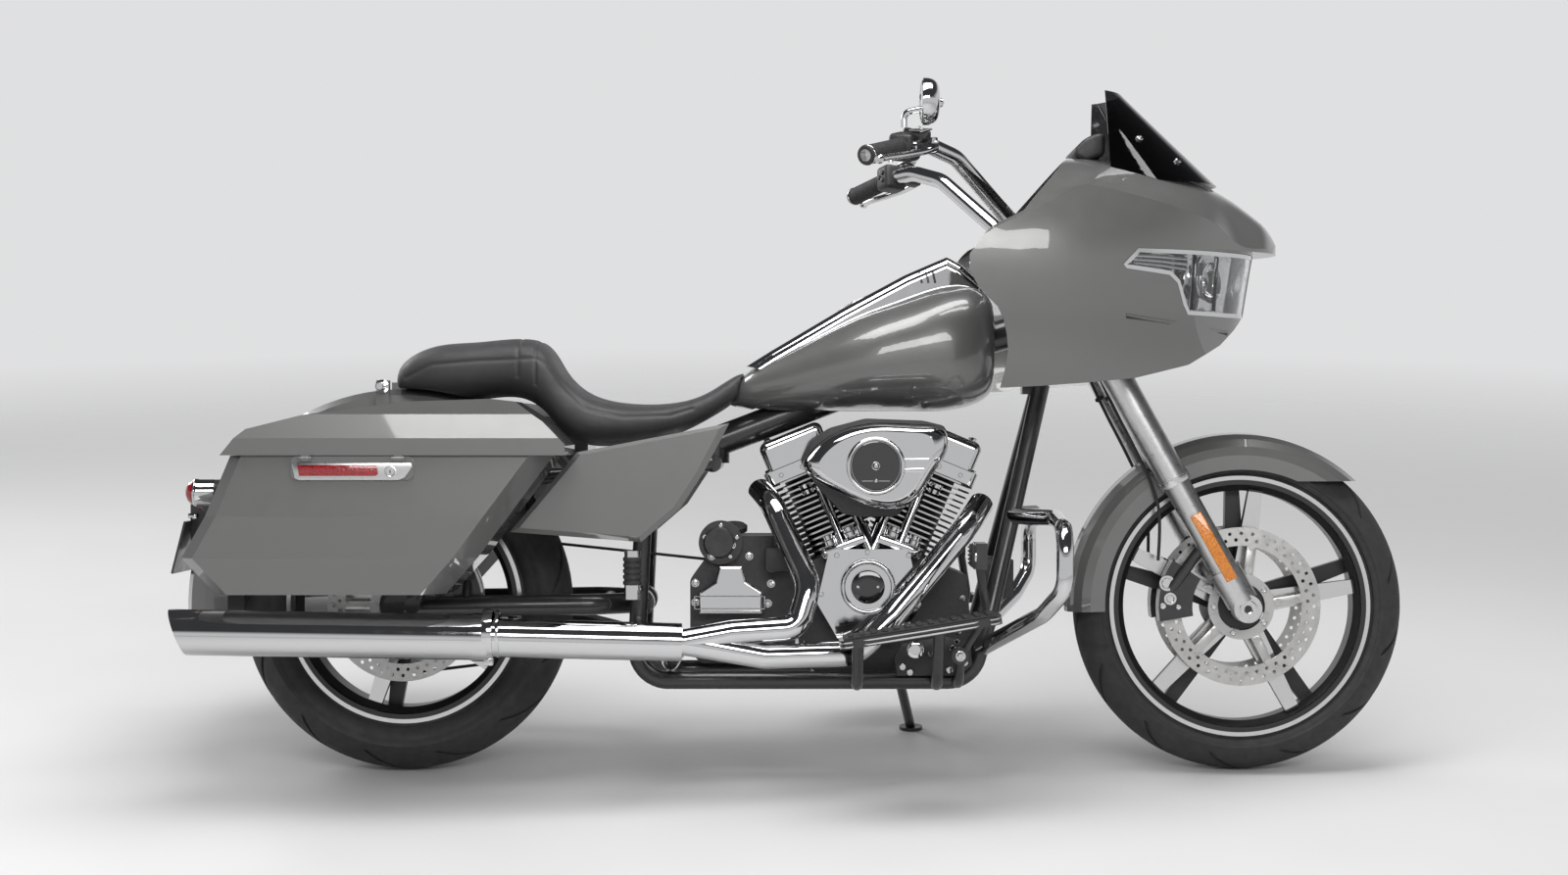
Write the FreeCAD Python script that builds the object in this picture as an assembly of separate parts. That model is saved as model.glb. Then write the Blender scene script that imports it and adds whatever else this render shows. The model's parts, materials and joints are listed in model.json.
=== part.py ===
import FreeCAD, Part
import math
import os

# A touring cruiser motorcycle with a frame-mounted fairing and hard saddlebags.
# X runs forward from the rear axle, Y to the rider's left and Z up from the ground, in millimetres.
# Every piece is modelled on the upright machine, which is then leaned onto its side stand.

# Whole machine
wheelbase = 1625.0
lean_angle = 8.0
rake_angle = 26.0
steering_lead = 15.6
running_gap = 0.05
seat_gap = 0.3
clear_gap = 2.0
cut_over = 5.0
frame_tube_radius = 17.0

# Front wheel
front_tyre_radius = 321.0
front_tyre_width = 130.0
front_crown_rise = 46.0
front_bead_radius = 243.0
front_lip_radius = 254.0
front_rim_width = 100.0
front_disc_radius = 154.0
front_disc_band = 36.0
front_disc_offset = 62.0
front_spoke_angle = 9.5

# Rear wheel
rear_tyre_radius = 323.0
rear_tyre_width = 180.0
rear_crown_rise = 50.0
rear_bead_radius = 218.0
rear_lip_radius = 229.0
rear_rim_width = 140.0
rear_disc_radius = 146.0
rear_disc_band = 34.0
rear_disc_offset = 84.0
rear_spoke_angle = 36.0
pulley_radius = 140.0
pulley_width = 20.0
pulley_offset = 94.0

# Both wheels
spoke_count = 5
rim_lip = 4.0
rim_wall = 6.0
rim_well_depth = 12.0
hub_radius = 44.0
spoke_root_width = 44.0
spoke_tip_width = 27.0
spoke_depth = 24.0
spoke_turn = 10.0
axle_radius = 12.5
axle_bore_radius = 7.0
disc_thickness = 5.0
disc_arm_width = 22.0
disc_hub_radius = 64.0

# Fork
fork_angle = 29.25
leg_offset = 125.0
slider_radius = 26.0
slider_boss_radius = 31.0
cover_radius = 29.5
cover_bottom_rise = 283.0
leg_top_rise = 768.0
axle_clamp_radius = 27.0
axle_clamp_length = 54.0
reflector_width = 18.0
reflector_length = 74.0
reflector_depth = 5.0
reflector_rise = 84.0
neck_radius = 30.0
neck_length = 150.0
neck_height = 910.0
stem_radius = 12.7
clamp_thickness = 32.0
clamp_gap = 1.0
clamp_ring = 8.0

# Front fender
front_fender_radius = 338.0
front_fender_wall = 3.0
front_fender_half_width = 80.0
front_fender_skirt = 72.0
fender_bracket_width = 34.0
fender_bracket_thickness = 6.0

# Handlebar, taken outwards along the left side
bar_radius = 16.0
bar_end_radius = 11.0
bar_bend = 70.0
bar_clamp_height = 1000.0
bar_clamp_x = 1240.0
riser_radius = 17.0
riser_spacing = 90.0
grip_radius = 17.5
bar_knee_x = 1165.0
bar_knee_y = 150.0
bar_knee_z = 1070.0
bar_crest_x = 1060.0
bar_crest_y = 245.0
bar_crest_z = 1176.0
bar_turn_x = 1004.0
bar_turn_y = 292.0
bar_turn_z = 1196.0
grip_inner_x = 965.0
grip_inner_y = 330.0
grip_inner_z = 1190.0
grip_outer_x = 884.0
grip_outer_y = 457.0
grip_outer_z = 1160.0
switch_length = 58.0
switch_radius = 27.0
lever_length = 175.0
lever_width = 20.0
lever_thickness = 9.0
lever_reach = 62.0
mirror_x = 1006.0
mirror_y = 405.0
mirror_z = 1262.0
mirror_width = 150.0
mirror_height = 84.0
mirror_points = 16
mirror_depth = 34.0
mirror_stem_radius = 6.0

# Front brake calipers
caliper_length = 118.0
caliper_width = 56.0
caliper_depth = 48.0
caliper_angle = 168.0
caliper_slot = 9.0
caliper_lug_rise = 150.0
fender_bracket_rise = 262.0
crown_steps = 8
front_fender_start = 4.0
front_fender_sweep = 178.0
fender_trim_shares = ((0.31, -0.20), (0.205, 0.10), (0.275, 0.36), (0.36, 0.66), (0.45, 0.72),
                      (1.20, 0.72), (1.20, -0.20))

# Frame
backbone_radius = 30.0
gusset_half_width = 22.0
gusset_setback = 425.0
gusset_x = wheelbase - gusset_setback
gusset_z = 735.0
gusset_length = 175.0
gusset_height = 228.0
gusset_shares = ((1.0, 0.50), (0.66, 1.0), (0.0, 0.74), (0.02, 0.0), (0.13, 0.0), (0.14, 0.19))
backbone_setback = 295.0
backbone_front_x = wheelbase - backbone_setback
backbone_front_z = 900.0
backbone_knee_x = 1120.0
backbone_knee_z = 838.0
backbone_rear_x = 600.0
backbone_rear_z = 640.0
downtube_setback = 385.0
downtube_top_x = wheelbase - downtube_setback
downtube_top_z = 752.0
downtube_top_y = 24.0
downtube_foot_x = 1128.0
downtube_foot_z = 300.0
rail_y = 142.0
rail_z = 185.0
rail_front_x = 1095.0
rail_rear_x = 452.0
upright_x = 472.0
seat_rail_y = 140.0
seat_rail_z = 600.0
seat_rail_rear_x = -292.0
seat_rail_rear_z = 530.0
seat_tube_radius = 14.0
frame_bend = 60.0
cross_tube_share = 0.8
case_mount_xs = (800.0, 1035.0)
tank_mount_xs = (840.0, 1050.0)
tank_mount_radius = 8.0

# Engine guard, taken down the left side
guard_radius = 16.0
guard_bend = 60.0
guard_top_z = 498.0
guard_outer_x = 1251.0
guard_outer_y = 400.0
guard_outer_high_z = 480.0
guard_outer_low_z = 372.0
guard_low_x = 1215.0
guard_low_z = 322.0
guard_foot_z = 245.0

# Engine
crank_x = 905.0
crank_z = 310.0
cylinder_tilt = 22.5
case_x = 765.0
case_length = 335.0
case_height = 252.0
case_half_width = 95.0
case_round = 22.0
case_shares = ((0.0, 0.22), (0.07, 0.0), (0.86, 0.0), (1.0, 0.22), (0.97, 0.74), (0.78, 1.0),
               (0.2, 1.0), (0.0, 0.78))
cylinder_base = 138.0
cylinder_fin_top = 300.0
barrel_radius = 58.0
fin_count = 15
fin_thickness = 3.4
fin_root_half_width = 70.0
fin_tip_half_width = 90.0
fin_half_depth = 88.0
fin_round = 30.0
valley_gap = 3.0
rocker_half_length = 76.0
rocker_half_width = 84.0
rocker_low = 300.0
rocker_height = 84.0
rocker_shift = 14.0
rocker_step = 26.0
rocker_inset = 11.0
rocker_round = 16.0
pushrod_radius = 9.0
pushrod_low_y = 114.0
pushrod_high_y = 72.0
pushrod_spacing = 44.0
pushrod_shift_share = 0.55
pushrod_low = 132.0
tappet_height = 34.0

# Air cleaner
cleaner_x = 778.0
cleaner_z = 519.0
cleaner_length = 268.0
cleaner_height = 157.0
cleaner_outer_y = 300.0
cleaner_depth = 84.0
cleaner_shares = ((0.0, 0.58), (0.18, 0.86), (0.45, 1.0), (0.78, 0.99), (0.97, 0.90), (0.99, 0.80),
                  (0.88, 0.38), (0.78, 0.12), (0.66, 0.0), (0.44, 0.02), (0.2, 0.2))
cleaner_dial_x = 908.0
cleaner_dial_z = 597.0
cleaner_dial_radius = 55.0
cleaner_dial_rise = 7.0
intake_radius = 30.0
cleaner_post_radius = 7.0
cleaner_post_rise = 282.0

# Engine covers
cam_x = 800.0
cam_z = 258.0
cam_length = 200.0
cam_height = 178.0
cam_depth = 48.0
cam_shares = ((0.0, 0.42), (0.22, 0.0), (0.78, 0.0), (1.0, 0.40), (0.88, 1.0), (0.12, 1.0))
cam_round = 16.0
timer_x = 897.0
timer_z = 365.0
timer_radius = 53.0
timer_depth = 30.0

# Gearbox
gearbox_x = 556.0
gearbox_z = 214.0
gearbox_length = 203.0
gearbox_height = 246.0
gearbox_half_width = 104.0
gearbox_left_width = 80.0
gearbox_shares = ((0.0, 0.1), (0.1, 0.0), (1.0, 0.0), (1.0, 0.86), (0.86, 1.0), (0.30, 1.0), (0.0, 0.66))
gearbox_round = 20.0
gearbox_cover_x = 574.0
gearbox_cover_z = 312.0
gearbox_cover_length = 122.0
gearbox_cover_height = 92.0
gearbox_cover_depth = 44.0
gearbox_cover_shares = ((0.0, 0.0), (1.0, 0.0), (1.0, 0.46), (0.74, 0.68), (0.68, 1.0), (0.32, 1.0),
                        (0.26, 0.68), (0.0, 0.46))
sprocket_cover_x = 615.0
sprocket_cover_z = 448.0
sprocket_cover_radius = 42.0

# Primary drive cover on the left
primary_front_x = 905.0
primary_rear_x = 672.0
primary_z = 312.0
primary_front_radius = 98.0
primary_rear_radius = 88.0
primary_y = 114.0
primary_depth = 80.0
primary_step = 16.0
primary_round = 14.0

# Exhaust
header_radius = 23.5
header_bend = 75.0
muffler_y = 320.0
muffler_z = 289.0
muffler_front_z = 279.0
muffler_radius = 42.5
muffler_rear_x = -387.0
muffler_front_x = 190.0
muffler_cut_angle = 21.0
muffler_wall = 3.0
muffler_bore_depth = 240.0
collar_length = 30.0
collar_radius = 44.5
front_pipe_radius = 36.0
front_pipe_x = 545.0
front_pipe_z = 268.0
front_pipe_y_share = 0.9
rear_header_shares = ((0.7631, 0.30, 1.768), (0.791, 0.516, 1.677), (0.8673, 0.766, 1.20),
                      (0.8421, 0.82, 0.942), (0.7075, 0.875, 0.92))
front_header_shares = ((1.2354, 0.30, 1.684), (1.1994, 0.516, 1.548), (1.0378, 0.7125, 0.997),
                       (0.9633, 0.766, 0.784), (0.7739, 0.844, 0.774))
crossover_shares = ((0.3645, -0.94, 0.871), (0.553, -0.82, 0.74), (0.5746, -0.58, 0.718),
                    (0.5746, 0.47, 0.718))
crossover_radius = 18.0

# Fuel tank
tank_x = 632.0
tank_z = 701.0
tank_length = 512.0
tank_height = 249.0
tank_half_width = 178.0
tank_power = 2.5
tank_stations_share = ((0.0, 0.05, 0.15, 0.10), (0.06, 0.02, 0.30, 0.34), (0.18, 0.0, 0.44, 0.56),
                       (0.36, 0.0, 0.63, 0.80), (0.55, 0.0, 0.81, 0.95), (0.74, 0.0, 0.95, 1.0),
                       (0.88, 0.02, 1.0, 0.95), (0.96, 0.08, 0.95, 0.80), (1.0, 0.20, 0.80, 0.52))
tunnel_half_width = 40.0
tunnel_clearance = 6.0
console_top_count = 7
console_x_share = 0.0625
console_z_share = 0.309
console_length_share = 0.91
console_height_share = 0.9
console_half_width = 62.0
console_round = 20.0
console_shares = ((0.0, 0.05), (0.10, 0.18), (0.40, 0.55), (0.66, 0.84), (0.838, 1.0), (0.90, 0.93),
                  (1.0, 0.74), (0.97, 0.64), (0.8, 0.60), (0.4, 0.30), (0.1, 0.0))
door_x_share = 0.469
door_radius = 40.0
door_thickness = 9.0
door_gap = 0.8
door_well = 14.0
door_pin_radius = 2.5
door_notch_share = 0.64

# Seat
seat_x = -10.0
seat_z = 636.0
seat_length = 674.0
seat_height = 206.0
seat_half_width = 176.0
seat_stations_share = ((0.0, 0.50, 0.58, 0.34), (0.02, 0.45, 0.80, 0.67), (0.08, 0.44, 0.91, 0.77),
                       (0.22, 0.43, 0.97, 0.85), (0.37, 0.42, 1.0, 0.91), (0.42, 0.31, 0.95, 0.955),
                       (0.47, 0.12, 0.71, 0.98), (0.54, 0.0, 0.495, 1.0), (0.65, 0.0, 0.393, 0.966),
                       (0.77, 0.07, 0.388, 0.795), (0.88, 0.23, 0.48, 0.57), (0.96, 0.39, 0.64, 0.375),
                       (1.0, 0.51, 0.68, 0.23))
seat_power = 3.2
seat_tank_gap = 0.5

# Rear fender
rear_fender_radius = 420.0
rear_fender_half_width = 106.0
rear_fender_wall = 3.0
rear_fender_skirt = 84.0
rear_fender_start = 34.0
rear_fender_sweep = 154.0
rear_fender_round = 40.0
rear_fender_post_x = 245.0
stud_x = -35.0
stud_z = 748.0
stud_radius = 8.0
stud_length = 40.0
strut_y = 124.0
strut_width = 24.0
strut_low_z = 662.0

# Side covers
side_cover_x = 221.0
side_cover_z = 453.0
side_cover_length = 413.0
side_cover_height = 224.0
side_cover_y = 246.0
side_cover_depth = 16.0
side_cover_bevel = 10.0
side_cover_shares = ((0.305, 0.755), (1.0, 1.0), (0.885, 0.594), (0.772, 0.277), (0.598, 0.0),
                     (0.0, 0.085))
side_cover_post_radius = 8.0
side_cover_post_shares = (0.45, 0.80)

# Saddlebags, taken on the left
bag_inner_y = 192.0
bag_outer_y = 430.0
bag_wall = 4.0
bag_seam_z = 617.0
bag_crease_z = 506.0
bag_fold_z = 430.0
bag_low_z = 362.0
bag_round = 24.0
bag_rear_x = -363.0
bag_top_rear_x = -275.0
bag_top_front_x = 318.0
bag_crease_rear_x = -320.0
bag_crease_front_x = 236.0
bag_fold_front_x = 180.0
bag_low_rear_x = -306.0
bag_low_front_x = 118.0
bag_low_inset = 30.0
bag_crease_inset = 8.0
bag_front_taper = 46.0
lid_gap = 0.6
lid_x = -288.0
lid_length = 627.0
lid_height = 104.0
lid_overhang = 4.0
lid_shares = ((0.0, 0.0), (0.04, 0.30), (0.072, 0.46), (0.233, 0.71), (0.526, 0.95), (0.77, 1.0),
              (0.844, 0.95), (0.933, 0.59), (1.0, 0.19), (1.0, 0.0))
lid_cross_shares = ((0.0, 0.0), (0.0, 0.72), (0.12, 1.0), (0.62, 1.0), (0.90, 0.72), (1.0, 0.30),
                    (1.0, 0.0))
hinge_plate_x = -159.0
hinge_plate_length = 222.0
hinge_plate_low_z = 573.0
hinge_plate_high_z = 616.0
hinge_plate_depth = 5.0
hinge_slot_inset = 10.0
lid_hinge_drop = 6.0
lid_hinge_shares = (0.12, 0.88)
lid_knuckle_radius = 4.5
lid_knuckle_length = 16.0
lid_pin_radius = 2.0
hinge_ear = 2.5
bag_post_radius = 10.0

# Fairing
fairing_wall = 5.0
fairing_nose_x = 1701.0
fairing_rear_x = 1075.0
fairing_low_z = 735.0
fairing_height = 457.0
fairing_half_width = 386.0
fairing_flare = 60.0
# One half of its outline from above: shares of the length behind the nose and of the half width
fairing_plan_shares = ((0.0, 0.0), (0.012, 0.13), (0.042, 0.24), (0.093, 0.34), (0.14, 0.41),
                       (0.21, 0.52), (0.30, 0.65), (0.40, 0.76), (0.50, 0.84), (0.64, 0.92),
                       (0.80, 0.97), (1.0, 1.0))
# Its levels: shares of the height, of the length that the nose stands back, and of the half width
fairing_level_shares = ((-0.08, 0.10, 0.78), (0.10, 0.045, 0.90), (0.28, 0.012, 0.97), (0.46, 0.0, 1.0),
                        (0.62, 0.0, 1.0), (0.76, 0.0, 0.965), (0.90, 0.012, 0.91), (1.05, 0.03, 0.84))
# Its arched top: shares of the length, of the height at the middle and at the crease,
# and of the half width there
fairing_arch_shares = ((-0.016, 0.57, 0.56, 0.10), (0.0, 0.628, 0.602, 0.12),
                       (0.0145, 0.674, 0.602, 0.16), (0.045, 0.729, 0.602, 0.25),
                       (0.093, 0.781, 0.604, 0.34), (0.142, 0.829, 0.613, 0.41),
                       (0.208, 0.877, 0.672, 0.505), (0.294, 0.923, 0.729, 0.62),
                       (0.395, 0.960, 0.775, 0.71), (0.492, 0.982, 0.810, 0.765),
                       (0.634, 1.0, 0.851, 0.82), (0.72, 0.995, 0.812, 0.87),
                       (0.834, 0.952, 0.731, 0.92), (0.96, 0.865, 0.635, 0.97), (1.02, 0.82, 0.59, 1.0))
fairing_shoulder_share = 0.62
fairing_shoulder_rise_share = 0.70
# The trimmed outline seen from the side, from above the top round the rear to the chin
fairing_trim_shares = ((0.335, 1.2), (0.335, 1.0), (0.217, 0.814), (0.166, 0.731), (0.073, 0.667),
                       (0.054, 0.643), (0.005, 0.554), (0.003, 0.492), (0.032, 0.416), (0.088, 0.341),
                       (0.105, 0.291), (0.115, 0.23), (0.12, 0.166), (0.113, 0.09), (0.101, 0.016),
                       (0.222, 0.024), (0.343, 0.036), (0.508, 0.057), (0.68, 0.114), (0.79, 0.199),
                       (0.841, 0.263), (0.882, 0.326), (1.1, 0.33), (1.1, 1.2))
# The face under the nose, which holds the lamps
brow_z = 1006.0
face_high_x = 1655.0
face_low_x = 1594.0
face_plan_shares = ((0.0, 0.0), (0.013, 0.18), (0.056, 0.325), (0.12, 0.455), (0.21, 0.61),
                    (0.32, 0.78), (0.64, 1.12))
fairing_floor_half_width = 215.0
fairing_floor_front_x = 1500.0
lamp_x = 1364.0
lamp_z = 879.0
lamp_length = 360.0
lamp_height = 124.0
lamp_shares = ((1.0, 1.0), (1.0, 0.04), (0.622, 0.0), (0.364, 0.008), (0.336, 0.153), (0.30, 0.484),
               (0.256, 0.597), (0.02, 0.677), (0.0, 0.742), (0.083, 0.992))
lamp_gap = 0.6
lamp_sink = 4.0
lamp_wall = 6.0
lamp_strip_half_width = 28.0
shield_low_z = 1140.0
shield_low_front_x = 1584.0
shield_low_rear_x = 1358.0
shield_low_half_width = 206.0
shield_tip_x = 1399.0
shield_tip_z = 1318.0
shield_tip_rear_x = 1354.0
shield_tip_half_width = 122.0
shield_wall = 4.0
dash_x = 1345.0
dash_thickness = 12.0
dash_low_z = 830.0
dash_notch_half_width = 198.0
dash_notch_z = 1064.0
gauge_radius = 50.0
gauge_y = 66.0
gauge_z = 1112.0
gauge_depth = 22.0
speaker_radius = 66.0
speaker_y = 272.0
speaker_z = 978.0
speaker_depth = 14.0
bracket_radius = 14.0
bracket_knee_x = 1580.0
bracket_knee_y = 60.0
bracket_knee_z = 950.0
bracket_tip_x = 1618.0
bracket_tip_z = 1150.0

# Foot controls, taken on the left
board_rear_x = 838.0
board_rear_z = 278.0
board_length = 300.0
board_inner_y = 302.0
board_width = 128.0
board_thickness = 16.0
board_tilt = 9.2
board_round = 34.0
board_bracket_radius = 11.0
board_bracket_shares = (0.12, 0.62)
pedal_pivot_x = 1066.0
pedal_pivot_y = 276.0
pedal_pivot_z = 242.0
pedal_knee_x = 1116.0
pedal_knee_z = 318.0
pedal_pad_x = 1099.0
pedal_pad_z = 431.0
pedal_pad_height = 48.0
pedal_pad_width = 92.0
pedal_pad_depth = 24.0
pedal_radius = 8.0
peg_x = 453.0
peg_y = 270.0
peg_low_z = 362.0
peg_length = 76.0
peg_radius = 15.0

# Swingarm and rear drive
swingarm_pivot_z = 330.0
swingarm_y = 139.0
swingarm_radius = 20.0
swingarm_hub_y = 70.0
swingarm_knee_x = 372.0
shock_y = 174.5
shock_radius = 15.0
shock_foot_x = 30.0
shock_foot_z = 330.0
shock_head_x = 120.0
shock_head_z = 566.0
belt_thickness = 5.0
belt_gap = 0.5
sprocket_x = 690.0
sprocket_z = 330.0
sprocket_radius = 62.0
rear_caliper_angle = 20.0
rear_caliper_length = 86.0
rear_caliper_width = 44.0
rear_caliper_depth = 40.0

# Tail
tail_lamp_half_width = 52.0
tail_lamp_low_z = 505.0
tail_lamp_height = 62.0
tail_lamp_rear_x = -402.0
signal_x = -368.0
signal_y = 180.0
signal_z = 545.0
signal_radius = 25.0
signal_length = 46.0
signal_bar_radius = 8.0
number_plate_width = 178.0
number_plate_height = 104.0
number_plate_thickness = 4.0
number_plate_top_x = -424.0
number_plate_top_z = 488.0
number_plate_tilt = 14.0

# Side stand, on the left
stand_x = 968.0
stand_z = 188.0
stand_boss_gap = 3.0
stand_boss_width = 30.0
stand_boss_radius = 17.0
stand_pin_radius = 8.0
stand_foot_x = 1000.0
stand_foot_reach = 323.0
stand_foot_radius = 24.0
stand_foot_thickness = 7.0
stand_leg_radius = 10.0
reach_nodes = ("front_tyre", "rear_tyre", "mufflers", "handlebar", "hand_controls", "footboards",
               "saddlebag_left",
               "saddlebag_right", "saddlebag_lid_left", "saddlebag_lid_right", "fairing_shell", "rear_lamps",
               "rear_fender", "mirrors", "engine_guard", "windshield")


# Helpers

def vec(x, y, z):
    return FreeCAD.Vector(x, y, z)


origin = vec(0, 0, 0)
forward = vec(1, 0, 0)
leftward = vec(0, 1, 0)
upward = vec(0, 0, 1)


def unit(direction):
    return direction * (1 / direction.Length)


def mirrored(shape):
    return shape.mirror(origin, leftward)


def both_sides(shape):
    return [shape, mirrored(shape)]


def fused(shapes):
    return shapes[0].multiFuse(shapes[1:]) if len(shapes) > 1 else shapes[0]


def turned(shape, centre, axis, angle):
    copy = shape.copy()
    copy.rotate(centre, axis, angle)
    return copy


def moved(shape, offset):
    copy = shape.copy()
    copy.translate(offset)
    return copy


def block(low, high):
    size = high - low
    return Part.makeBox(size.x, size.y, size.z, low)


def rod(start, end, radius):
    return Part.makeCylinder(radius, (end - start).Length, start, unit(end - start))


def pipe_ring(start, end, radius, bore):
    return rod(start, end, radius).cut(rod(start, end, bore))


# Corners of an outline in the side view, from shares of its own box
def side_points(shares, low_x, low_z, length, height, y=0.0):
    return [vec(low_x + share_x * length, y, low_z + share_z * height) for share_x, share_z in shares]


# Points of a route, from shares of a length forward, a width and a height, with Y to the given side
def route_points(shares, length, width, height):
    return [vec(share_x * length, share_y * width, share_z * height) for share_x, share_y,
            share_z in shares]


def polygon(points):
    return Part.makePolygon(points + points[:1])


def plate(points, thickness_vector):
    return Part.Face(polygon(points)).extrude(thickness_vector)


# A side outline pushed across the machine from y to y + width
def side_plate(points, y, width):
    return plate([vec(p.x, y, p.z) for p in points], vec(0, width, 0))


# The straight edges of a solid that run along the given direction, rounded
def rounded_along(solid, direction, radius):
    edges = []
    for edge in solid.Edges:
        ends = edge.Vertexes
        if len(ends) == 2:
            run = ends[1].Point - ends[0].Point
            if run.Length > seat_gap and abs(unit(run).dot(direction)) > 0.999:
                edges.append(edge)
    return solid.makeFillet(radius, edges)


def smooth_loop(points):
    curve = Part.BSplineCurve()
    curve.interpolate(points, PeriodicFlag=True)
    return Part.Wire(curve.toShape())


# A closed section across the machine: a rounded box whose corners are set by its power
def cross_section(x, low_z, high_z, half_width, power=2.6, count=20, shift_y=0.0):
    middle = (low_z + high_z) / 2
    half_height = (high_z - low_z) / 2
    points = []
    for index in range(count):
        turn = 2 * math.pi * (index + 0.5) / count
        across = math.copysign(abs(math.cos(turn)) ** (2 / power), math.cos(turn))
        along = math.copysign(abs(math.sin(turn)) ** (2 / power), math.sin(turn))
        points.append(vec(x, shift_y + half_width * across, middle + half_height * along))
    return smooth_loop(points)


def loft(wires, ruled=False):
    return Part.makeLoft(wires, True, ruled)


# Straight runs joined by tangent arcs, each no larger than its runs allow
def bent_path(points, bend):
    edges = []
    start = points[0]
    for corner, after in zip(points[1:-1], points[2:]):
        into = unit(corner - start)
        out = unit(after - corner)
        half_turn = into.getAngle(out) / 2
        shorter = min((corner - start).Length, (after - corner).Length)
        radius = min(bend, 0.45 * shorter / math.tan(half_turn))
        reach = radius * math.tan(half_turn)
        first = corner - into * reach
        last = corner + out * reach
        middle = corner + unit(out - into) * (radius / math.cos(half_turn) - radius)
        edges.append(Part.LineSegment(start, first).toShape())
        edges.append(Part.Arc(first, middle, last).toShape())
        start = last
    edges.append(Part.LineSegment(start, points[-1]).toShape())
    return Part.Wire(edges)


def tube(points, radius, bend):
    path = bent_path(points, bend)
    ring = Part.Wire(Part.Circle(points[0], unit(points[1] - points[0]), radius).toShape())
    return path.makePipeShell([ring], True, False)


# A ring turned about the Y axis from (radius, y) points round the given centre
def wheel_ring(outline, centre, sweep=360.0):
    points = [vec(centre.x + radius, y, centre.z) for radius, y in outline]
    return Part.Face(polygon(points)).revolve(centre, leftward, sweep)


# Derived places

def crown_radius(width, rise):
    return (width ** 2 / 4 + rise ** 2) / (2 * rise)


def axle_height(radius, crown):
    return radius - crown + crown / math.cos(math.radians(lean_angle))


front_axle_height = axle_height(front_tyre_radius, crown_radius(front_tyre_width, front_crown_rise))
rear_axle_height = axle_height(rear_tyre_radius, crown_radius(rear_tyre_width, rear_crown_rise))
front_axle = vec(wheelbase, 0, front_axle_height)
rear_axle = vec(0, 0, rear_axle_height)
steering_direction = vec(-math.sin(math.radians(rake_angle)), 0, math.cos(math.radians(rake_angle)))
steering_foot = front_axle + vec(steering_lead / math.cos(math.radians(rake_angle)), 0, 0)
fork_direction = vec(-math.sin(math.radians(fork_angle)), 0, math.cos(math.radians(fork_angle)))


# A point of the steering axis at a height
def steering_point(height):
    return steering_foot + steering_direction * ((height - steering_foot.z) / steering_direction.z)


# A point of a fork leg, so far up the leg from the axle
def leg_point(rise, side=1):
    return front_axle + fork_direction * rise + vec(0, side * leg_offset, 0)


# Wheels

def tyre(axle, radius, width, rise, bead, lip, rim_width):
    half_bead = rim_width / 2 - rim_lip - seat_gap
    shoulder = radius - rise
    low = axle.x + bead
    left = [vec(low, half_bead, axle.z), vec(axle.x + lip + seat_gap, half_bead, axle.z),
            vec(axle.x + shoulder, width / 2, axle.z)]
    right = [vec(p.x, -p.y, p.z) for p in reversed(left)]
    crown = Part.Arc(left[2], vec(axle.x + radius, 0, axle.z), right[0]).toShape()
    edges = [Part.makeLine(left[0], left[1]), Part.makeLine(left[1], left[2]), crown,
             Part.makeLine(right[0], right[1]), Part.makeLine(right[1], right[2]),
             Part.makeLine(right[2], left[0])]
    return Part.Face(Part.Wire(edges)).revolve(axle, leftward, 360)


def rim(axle, bead, lip, rim_width):
    half = rim_width / 2
    seat = bead - seat_gap
    well = seat - rim_well_depth
    flank = half - rim_lip
    well_half = half / 2
    outline = [(lip, half), (lip, flank), (seat, flank), (seat, well_half + rim_well_depth / 2),
               (well, well_half)]
    outline += [(r, -y) for r, y in reversed(outline)]
    inner = [(seat - rim_wall, half), (seat - rim_wall, well_half + rim_well_depth),
             (well - rim_wall, well_half)]
    outline += [(r, -y) for r, y in inner] + list(reversed(inner))
    return wheel_ring(outline, axle)


# One flat spoke that points along +X from the axle
def spoke(axle, tip_radius, y, depth):
    root = hub_radius / 2
    points = [vec(axle.x + root, y, axle.z - spoke_root_width / 2),
              vec(axle.x + tip_radius, y, axle.z - spoke_tip_width / 2),
              vec(axle.x + tip_radius, y, axle.z + spoke_tip_width / 2),
              vec(axle.x + root, y, axle.z + spoke_root_width / 2)]
    return plate(points, vec(0, depth, 0))


def wheel(axle, bead, lip, rim_width, hub_half, first_angle):
    tip = bead - seat_gap - rim_well_depth - rim_wall / 2
    pieces = [rim(axle, bead, lip, rim_width), rod(axle - vec(0, hub_half, 0), axle + vec(0, hub_half, 0),
                                                   hub_radius)]
    for index in range(spoke_count):
        angle = first_angle + 360.0 / spoke_count * index
        near = turned(spoke(axle, tip, -spoke_depth * 1.4, spoke_depth), axle, leftward, -angle)
        far = turned(spoke(axle, tip, spoke_depth * 0.4, spoke_depth), axle, leftward,
                     -angle - spoke_turn)
        pieces += [near, far]
    bore = rod(axle - vec(0, hub_half + cut_over, 0), axle + vec(0, hub_half + cut_over, 0),
               axle_radius + running_gap)
    return fused(pieces).cut(bore)


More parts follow.
